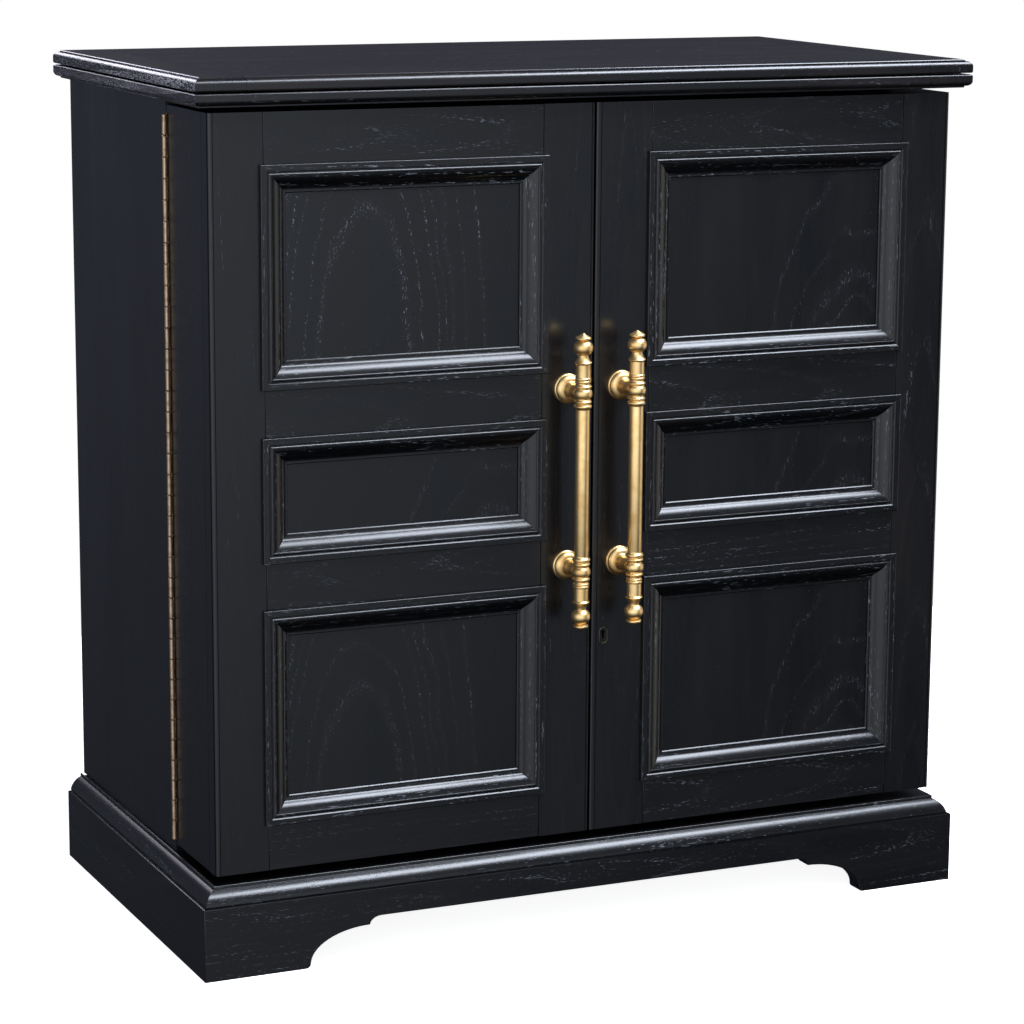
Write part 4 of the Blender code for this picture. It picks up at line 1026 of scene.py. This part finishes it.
@dataclass
class PanelMoulding:
    """The raised ring round a panel: flat band, quirk, bead, round and cove, and fillet."""

    band: float = 8.8 * MM
    quirk: float = 1.3 * MM
    bead: float = 4.4 * MM
    slope: float = 16.2 * MM
    fillet: float = 3.3 * MM
    fillet_height: float = 2.9 * MM
    proud: float = 6.0 * MM
    recess: float = 7.0 * MM
    lap: float = 5.3 * MM
    bead_radius: float = 1.9 * MM
    crest_angle: float = 12.0
    steepest_angle: float = 52.5

    def section(self) -> Section:
        """Outline as (inset from the outer edge, height above the door's face)."""
        seat = 0.3 * MM
        soft = 0.9 * MM
        chamfer = 1.2 * MM
        floor = self.fillet_height - self.recess
        valley = self.proud - 1.4 * MM
        bead_start = self.band + self.quirk
        slope_start = bead_start + self.bead
        slope_end = slope_start + self.slope
        inner = slope_end + self.fillet
        crest = self.proud - 0.6 * MM
        section = Section([(self.lap, seat), (0.0, seat)])
        section.sweep((soft, self.proud - soft), (soft, soft), 180, 90, 4)
        section.to((self.band - chamfer, self.proud), (self.band, self.proud - chamfer), (self.band, valley))
        section.sweep((bead_start + self.bead_radius, valley), (self.bead_radius, 1.2 * MM), 180, 0, 8)
        section.to((slope_start - 0.2 * MM, valley), (slope_start, crest))
        # A long round falls from the crest and turns into a short cove; both run at the same slope
        # where they meet, so their radii follow from the width and the fall.
        first, steepest = math.radians(self.crest_angle), math.radians(self.steepest_angle)
        fall = crest - floor
        round_run = math.sin(steepest) - math.sin(first)
        round_fall = math.cos(first) - math.cos(steepest)
        cove_run = math.sin(steepest)
        cove_fall = 1 - math.cos(steepest)
        cove = self.slope * round_fall - fall * round_run
        cove /= cove_run * round_fall - cove_fall * round_run
        rounded = (self.slope - cove_run * cove) / round_run
        section.bend(rounded, 90 - self.crest_angle, 90 - self.steepest_angle, 12)
        section.bend(cove, 270 - self.steepest_angle, 270, 12)
        section.to((slope_end + 0.1 * MM, floor + 0.7 * MM), (inner - 1.1 * MM, floor + 0.7 * MM))
        section.to((inner, floor - 0.4 * MM), (inner, seat - self.recess), (self.lap, seat - self.recess))
        return section

    def build(self, node: str, body: str) -> None:
        """Four mitred runs in the place of a CAD ring."""
        low, high = node_box(node)
        face = high.y - (self.recess - 0.3 * MM)
        wide = high.x - low.x
        tall = high.z - low.z
        mitred = (True, True)
        runs = (
            ("bottom", Grain.SIDEWAYS, (low.x, face, low.z), (1, 0, 0), (0, 0, 1), wide, mitred),
            ("right", Grain.UPRIGHT, (high.x, face, low.z), (0, 0, 1), (-1, 0, 0), tall, mitred),
            ("top", Grain.SIDEWAYS, (high.x, face, high.z), (-1, 0, 0), (0, 0, -1), wide, mitred),
            ("left", Grain.UPRIGHT, (low.x, face, high.z), (0, 0, -1), (1, 0, 0), tall, mitred),
        )
        fit_runs(node, body, self.section(), runs)


@dataclass
class BarPull:
    """A turned brass bar on two posts, each post on a rosette."""

    post_spacing: float = 219.0 * MM
    post_bead_radius: float = 11.5 * MM
    post_bead_half: float = 5.5 * MM
    rosette_radius: float = 18.4 * MM
    # Elements of (length, end radius, middle radius or None for a plain one) in millimetres, from
    # the pointed tip to the post's bead, and from there to the grip.
    end_run: tuple[tuple[float, float, Optional[float]], ...] = (
        (5.5, 9.0, 4.1), (0.4, 9.4, None), (1.7, 9.4, None), (0.4, 9.0, None), (1.5, 6.0, 6.4),
        (17.5, 6.4, 11.8), (8.8, 10.2, 7.4), (1.2, 10.2, 10.7), (1.5, 8.9, None),
        (15.5, 8.9, None), (3.5, 8.9, 9.9), (3.0, 8.9, 9.9), (3.5, 10.1, 8.6), (2.5, 10.1, 10.8),
        (2.0, 9.3, 9.0),
    )
    inner_run: tuple[tuple[float, float, Optional[float]], ...] = (
        (3.0, 10.2, 9.0), (2.5, 10.2, 10.8), (2.5, 10.2, 8.8), (3.5, 10.2, 11.0), (3.0, 8.6, 8.8),
    )

    @staticmethod
    def swelling(share: float) -> float:
        """Height of a round at a share of its length: 0 at both ends, 1 in the middle."""
        fullness = 0.9
        chord = math.sqrt(1 - fullness ** 2)
        return (math.sqrt(1 - (fullness * (2 * share - 1)) ** 2) - chord) / (1 - chord)

    def turning(self) -> Section:
        """The bar's whole outline about its middle, from the top tip down."""
        bead = (2 * self.post_bead_half / MM, 9.3, self.post_bead_radius / MM)
        total = sum(length for length, _, _ in self.end_run) * MM
        height = self.post_spacing / 2 + self.post_bead_half + total
        upper = [(0.0, height)]
        radius = 0.0
        for element in (*self.end_run, bead, *self.inner_run):
            length, end, middle = (None if value is None else value * MM for value in element)
            count = 1 if middle is None else 8
            for index in range(1, count + 1):
                share = index / count
                level = radius + (end - radius) * share
                if middle is not None:
                    level += (middle - (radius + end) / 2) * self.swelling(share)
                upper.append((level, height - length * share))
            radius = end
            height -= length
        lower = [(level, -z) for level, z in reversed(upper)]
        return Section(upper + lower)

    def post_turning(self, reach: float) -> Section:
        """A post's outline from the bar at the top down to the rosette's back."""
        r = self.rosette_radius
        neck = 8.4 * MM
        foot = 10.8 * MM
        flare = 0.26 * reach
        dome = 0.34 * reach
        post = Section([(0.0, reach), (neck - 0.6 * MM, reach), (neck, reach * 0.93)])
        post.sweep((foot, dome + flare), (foot - neck, flare), 180, 262, 6)
        post.sweep((r * 0.5, 0.13 * reach), (r * 0.44, dome - 0.14 * reach), 84, 0, 9)
        post.to((r * 0.93, reach * 0.11), (r * 0.97, reach * 0.1), (r, reach * 0.075), (r, 0.0), (0.0, 0.0))
        return post

    def build(self, label: str) -> None:
        """Fit the bar and both posts of one door."""
        body = label + "_door"
        metal = SATIN_BRASS.material()
        node = body + "_pull_bar"
        low, high = node_box(node)
        bar = moved(turned(self.turning(), 48), Matrix.Translation((low + high) / 2))
        fit(node + "_turned", bar, [metal], body, [node], 40.0)
        for piece in ("_pull_post_upper", "_pull_post_lower"):
            node = body + piece
            low, high = node_box(node)
            centre = (low + high) / 2
            turn = Matrix.Rotation(math.pi / 2, 4, "X")
            place = Matrix.Translation((centre.x, high.y, centre.z)) @ turn
            post = moved(turned(self.post_turning(high.y - low.y), 48), place)
            fit(node + "_turned", post, [metal], body, [node], 40.0)


# Where the heart of the log lies behind a panel, along and across it, and how pale its pores are.
PLAIN_FIGURE = ((0.3, 118 * MM), 0.2)
PANEL_FIGURES = {
    "left_door_panel_top": ((0.0, -50 * MM), 0.42),
    "left_door_panel_bottom": ((50 * MM, -58 * MM), 0.18),
}


@dataclass
class CabinetDoor:
    """One box door with its frame, panels, mouldings, box and pull."""

    label: str
    side: int
    corner: float = 4.0 * MM
    quirk: float = 1.2 * MM
    quirk_depth: float = 1.0 * MM
    meeting_bead: float = 7.0 * MM

    def node(self, piece: str) -> str:
        """Name of one of this door's CAD nodes."""
        return self.label + "_door_" + piece

    def stile(self, piece: str, edge_side: int, radius: float, quirk_at: float) -> Mesh:
        """A stile whose outer arris is a bead with a quirk beside it.

        Args:
            piece: the stile's name within the door.
            edge_side: -1 if the beaded edge is the stile's left one, 1 if its right one.
            radius: radius of the bead's round.
            quirk_at: distance of the quirk from the edge.

        Returns:
            The stile's mesh.
        """
        low, high = node_box(self.node(piece))
        edge = low.x if edge_side < 0 else high.x
        plain = high.x if edge_side < 0 else low.x
        into = -edge_side
        plan = Section([(plain, low.y), (plain, high.y), (edge, high.y)])
        rounding = Section().sweep((radius, radius), (radius, radius), 180, 270, 8)
        plan.to(*[(edge + into * x, low.y + y) for x, y in rounding.points])
        near = edge + into * quirk_at
        plan.to((near, low.y), (near + into * self.quirk * 0.3, low.y + self.quirk_depth))
        plan.to((near + into * self.quirk * 0.7, low.y + self.quirk_depth), (near + into * self.quirk, low.y))
        return moved(extruded(plan, high.z - low.z), Matrix.Translation((0, 0, low.z)))

    def build_frame(self) -> None:
        """Stiles, rails and panels."""
        body = self.label + "_door"
        outer = self.stile("stile_outer", self.side, self.corner, self.corner + self.quirk)
        inner_radius = self.corner / 2
        quirk_at = self.meeting_bead - self.quirk if self.side > 0 else inner_radius + self.quirk
        inner = self.stile("stile_inner", -self.side, inner_radius, quirk_at)
        for piece, mesh in (("stile_outer", outer), ("stile_inner", inner)):
            node = self.node(piece)
            made = fit_oak(node, body, mesh, CARCASE_OAK, Grain.UPRIGHT)
            if node == "right_door_stile_inner":
                bore_keyhole(made)
        for piece in ("rail_top", "rail_upper", "rail_lower", "rail_bottom"):
            fit_board(self.node(piece), body, Grain.SIDEWAYS, RAIL_OAK, 0.5 * MM, shrink=0.4 * MM)
        for piece in ("panel_top", "panel_middle", "panel_bottom"):
            heart, wax = PANEL_FIGURES.get(self.node(piece), PLAIN_FIGURE)
            fit_board(self.node(piece), body, Grain.UPRIGHT, replace(PANEL_OAK, wax=wax), 0.3 * MM, heart)

    def build_box(self) -> None:
        """The box behind the frame, with its bottle shelf."""
        body = self.label + "_door"
        fit_board(self.node("box_side"), body, Grain.UPRIGHT, CARCASE_OAK, 0.6 * MM)
        node = self.node("box_inner")
        dress(node, CARCASE_OAK.material(node, *node_box(node), Grain.UPRIGHT))
        for piece in ("box_top", "box_bottom"):
            fit_board(self.node(piece), body, Grain.SIDEWAYS, CARCASE_OAK, 0.5 * MM)
        node = self.node("bottle_shelf")
        low, high = node_box(node)
        thick = 12 * MM
        lip = Section([(low.y, low.z), (high.y, low.z)])
        lip.sweep((high.y - 3 * MM, high.z - 3 * MM), (3 * MM, 3 * MM), 0, 90, 5)
        lip.sweep((high.y - thick + 3 * MM, high.z - 3 * MM), (3 * MM, 3 * MM), 90, 180, 5)
        lip.to((high.y - thick, low.z + thick), (low.y, low.z + thick))
        mesh = extruded(lip, high.x - low.x)
        turn = Matrix(((0, 0, 1), (1, 0, 0), (0, 1, 0))).to_4x4()
        moved(mesh, Matrix.Translation((low.x, 0, 0)) @ turn)
        fit_oak(node, body, mesh, INNER_OAK, Grain.SIDEWAYS)

    def build(self) -> None:
        """Build every piece of the door."""
        self.build_frame()
        moulding = PanelMoulding()
        for place in ("top", "middle", "bottom"):
            moulding.build(self.node("moulding_" + place), self.label + "_door")
        self.build_box()
        BarPull().build(self.label)


# ------------------------------------------------------------------ lock

def keyhole_centre() -> Vector:
    """Centre of the escutcheon's back on the right door's face."""
    low, high = node_box("right_door_keyhole_escutcheon")
    return Vector(((low.x + high.x) / 2, high.y, (low.z + high.z) / 2))


def stadium(width: float, height: float) -> Section:
    """An upright slot outline with round ends, about the origin."""
    radius = width / 2
    reach = height / 2 - radius
    outline = Section().sweep((0.0, reach), (radius, radius), 0, 180, 10)
    return outline.sweep((0.0, -reach), (radius, radius), 180, 360, 10)


def bore_keyhole(stile: bpy.types.Object) -> None:
    """Cut the keyhole through the meeting stile and keep the cut mesh."""
    centre = keyhole_centre()
    half = 1.2 * MM
    hole = Section([(half, -4 * MM), (half, 2 * MM)])
    hole.sweep((0, 4 * MM), (2.3 * MM, 2.3 * MM), -58, 238, 14)
    hole.to((-half, 2 * MM), (-half, -4 * MM))
    cutter_mesh = moved(extruded(hole, 40 * MM), Matrix.Rotation(math.pi / 2, 4, "X"))
    moved(cutter_mesh, Matrix.Translation((centre.x, centre.y + 30 * MM, centre.z)))
    bmesh.ops.recalc_face_normals(cutter_mesh, faces=cutter_mesh.faces)
    data = bpy.data.meshes.new("keyhole_cutter")
    cutter_mesh.to_mesh(data)
    cutter_mesh.free()
    cutter = bpy.data.objects.new("keyhole_cutter", data)
    bpy.context.scene.collection.objects.link(cutter)
    change = stile.modifiers.new("keyhole", "BOOLEAN")
    change.operation = "DIFFERENCE"
    change.solver = "EXACT"
    change.object = cutter
    graph = bpy.context.evaluated_depsgraph_get()
    cut = bpy.data.meshes.new_from_object(stile.evaluated_get(graph))
    stile.modifiers.clear()
    stile.data = cut
    bpy.data.objects.remove(cutter, do_unlink=True)


@dataclass
class LockTrim:
    """Escutcheon, box lock and its bolt."""

    width: float = 11.0 * MM
    height: float = 19.8 * MM
    rim: float = 2.2 * MM
    thickness: float = 1.2 * MM

    def build_escutcheon(self) -> None:
        """A ring with rounded arrises, let onto the stile."""
        centre = keyhole_centre()
        mesh = bmesh.new()
        outline = stadium(self.width, self.height).points
        plate = mesh.faces.new([mesh.verts.new((x, y, 0.0)) for x, y in outline])
        bmesh.ops.inset_region(
            mesh, faces=[plate], thickness=self.rim, use_boundary=True, use_even_offset=True
        )
        bmesh.ops.delete(mesh, geom=[plate], context="FACES_ONLY")
        grown = bmesh.ops.extrude_face_region(mesh, geom=mesh.faces[:], use_keep_orig=True)
        lifted = [item for item in grown["geom"] if isinstance(item, bmesh.types.BMVert)]
        bmesh.ops.translate(mesh, verts=lifted, vec=(0, 0, self.thickness))
        bmesh.ops.recalc_face_normals(mesh, faces=mesh.faces)
        rims = [e for e in mesh.edges if all(abs(v.co.z - self.thickness) < 1e-6 for v in e.verts)]
        arrises = [e for e in rims if len(e.link_faces) == 2 and e.calc_face_angle(0.0) > 1.0]
        bmesh.ops.bevel(
            mesh, geom=arrises, offset=1.0 * MM, segments=5, profile=0.5, affect="EDGES", material=-1
        )
        moved(mesh, Matrix.Translation(centre) @ Matrix.Rotation(math.pi / 2, 4, "X"))
        node = "right_door_keyhole_escutcheon"
        fit(node + "_ring", mesh, [CAST_BRASS.material()], "right_door", [node])

    def build_lock(self) -> None:
        """The lock case with its screws, and the sliding bolt."""
        metal = AGED_BRASS.material()
        dress("right_door_lock_case", metal)
        low, high = node_box("right_door_lock_case")
        inset = 6 * MM
        spots = [(x, z) for x in (low.x + inset, high.x - inset) for z in (low.z + inset, high.z - inset)]
        places = [((x, high.y + 0.3 * MM, z), z * 50) for x, z in spots]
        heads = driven_screws(2.4 * MM, -math.pi / 2, places)
        fit("lock_case_screws", heads, [metal], "right_door")
        low, high = node_box("lock_bolt")
        bolt = eased_board(low, high, 0.5 * MM)
        fit("lock_bolt_tongue", bolt, [metal], "lock_bolt", ["lock_bolt"])

    def build(self) -> None:
        """Build the lock's pieces."""
        self.build_escutcheon()
        self.build_lock()


# ------------------------------------------------------------------ studio

@dataclass(frozen=True)
class Softbox:
    """A rectangular soft light, with its power in watts and its tint as sRGB hex."""

    name: str
    place: tuple[float, float, float]
    aim: tuple[float, float, float]
    size: tuple[float, float]
    power: float
    tint: str

    def hang(self) -> None:
        """Put the light in its place, out of the camera's sight."""
        data = bpy.data.lights.new(self.name, "AREA")
        data.shape = "RECTANGLE"
        data.size, data.size_y = self.size
        data.energy = self.power
        data.color = linear(self.tint)[:3]
        lamp = bpy.data.objects.new(self.name, data)
        lamp.visible_camera = False
        lamp.location = self.place
        facing = Vector(self.aim) - Vector(self.place)
        lamp.rotation_euler = facing.to_track_quat("-Z", "Y").to_euler()
        bpy.context.scene.collection.objects.link(lamp)


@dataclass
class Studio:
    """Pale floor, soft lights and the camera."""

    camera_place: tuple[float, float, float] = (-1.728, -3.826, 1.327)
    camera_yaw: float = 24.32
    camera_pitch: float = 11.36
    camera_roll: float = 0.35
    camera_lens: float = 116.2
    window_side: tuple[float, float, float] = (-0.5, -0.87, 0.0)
    wall_strength: float = 1.8
    # Wall tones from straight behind the cabinet round to the windows, and from below to above.
    round_tones: Stops = (
        (0.0, "#34343B"), (0.22, "#4E535E"), (0.6, "#202226"), (0.77, "#101214"),
        (0.791, "#929AA6"), (0.82, "#BCC4D0"), (1.0, "#F4F8FF"),
    )
    upward_tones: Stops = (
        (0.0, "#202020"), (0.25, "#848484"), (0.36, "#BABABA"), (0.46, "#FFFFFF"),
        (0.7, "#FFFFFF"), (1.0, "#C0C0C0"),
    )
    softboxes: tuple[Softbox, ...] = (
        Softbox("overhead_softbox", (1.2, -1.05, 3.0), (0.1, -0.3, 0.6), (2.4, 1.0), 190.0, "#E9F1FF"),
        Softbox("rear_softbox", (-0.6, 2.8, 2.15), (-0.5, 0.0, 1.05), (1.0, 1.0), 22.0, "#F2F0FF"),
        Softbox("right_softbox", (2.9, -0.9, 0.3), (0.0, -0.3, 0.55), (2.4, 2.4), 15.0, "#FFF6EC"),
    )

    def build_floor(self) -> None:
        """A round sheet of pale seamless paper, lit to the white of the walls."""
        mesh = bmesh.new()
        bmesh.ops.create_circle(mesh, cap_ends=True, segments=64, radius=2.6)
        bmesh.ops.translate(mesh, verts=mesh.verts, vec=(0.0, -1.1, 0.0))
        data = bpy.data.meshes.new("floor_paper")
        mesh.to_mesh(data)
        mesh.free()
        floor = bpy.data.objects.new("floor_paper", data)
        floor.location.z = -0.2 * MM
        floor.visible_glossy = False
        floor.visible_diffuse = False
        bpy.context.scene.collection.objects.link(floor)
        material, tree, output = empty_material("seamless_paper")
        shader = add_shader(tree, "BsdfPrincipled", {
            "Base Color": linear("#F4F4F4"), "Roughness": 0.9, "Specular IOR Level": 0.0,
            "Emission Color": (1, 1, 1, 1), "Emission Strength": 0.9,
        })
        tree.links.new(shader.outputs[0], output.inputs[0])
        data.materials.append(material)

    def build_sky(self) -> None:
        """White walls for the eye; what the lacquer mirrors is bright at the front left, dark elsewhere."""
        world = bpy.data.worlds.new("studio_walls")
        bpy.context.scene.world = world
        world.use_nodes = True
        tree = world.node_tree
        tree.nodes.clear()
        direction = add_shader(tree, "TexCoord").outputs["Generated"]
        factors = []
        for axis, stops in ((self.window_side, self.round_tones), ((0.0, 0.0, 1.0), self.upward_tones)):
            along = add_shader(tree, "VectorMath", {0: direction, 1: axis}, operation="DOT_PRODUCT")
            share = remapped(tree, along.outputs["Value"], (-1.0, 1.0))
            factors.append(shaded(tree, share, stops))
        walls = blended(tree, 1.0, factors[0], factors[1], "MULTIPLY")
        dim = add_shader(tree, "Background", {"Color": walls, "Strength": self.wall_strength})
        white = add_shader(tree, "Background", {"Color": (1, 1, 1, 1), "Strength": 1.0})
        seen = add_shader(tree, "LightPath").outputs["Is Camera Ray"]
        both = add_shader(tree, "MixShader", {0: seen, 1: dim.outputs[0], 2: white.outputs[0]})
        output = tree.nodes.new("ShaderNodeOutputWorld")
        tree.links.new(both.outputs[0], output.inputs[0])

    def build_camera(self) -> None:
        """A long lens from the left of the front, a little above the top."""
        data = bpy.data.cameras.new("camera")
        data.lens = self.camera_lens
        data.sensor_width = 36.0
        data.clip_end = 200.0
        camera = bpy.data.objects.new("camera", data)
        yaw = Matrix.Rotation(-math.radians(self.camera_yaw), 4, "Z")
        pitch = Matrix.Rotation(math.radians(90.0 - self.camera_pitch), 4, "X")
        roll = Matrix.Rotation(math.radians(self.camera_roll), 4, "Z")
        camera.matrix_world = Matrix.Translation(self.camera_place) @ yaw @ pitch @ roll
        bpy.context.scene.collection.objects.link(camera)
        bpy.context.scene.camera = camera

    def build(self) -> None:
        """Build the studio."""
        self.build_floor()
        self.build_sky()
        for softbox in self.softboxes:
            softbox.hang()
        self.build_camera()
        bpy.context.scene.view_settings.view_transform = "Standard"


def main() -> None:
    """Build the cabinet on its frame and light it."""
    logging.basicConfig(level=logging.INFO, format="%(name)s %(message)s")
    Plinth().build()
    Carcase().build()
    FoldingTop().build()
    build_hinges()
    for label, side in (("left", -1), ("right", 1)):
        CabinetDoor(label, side).build()
    LockTrim().build()
    Studio().build()


if __name__ == "__main__":
    main()
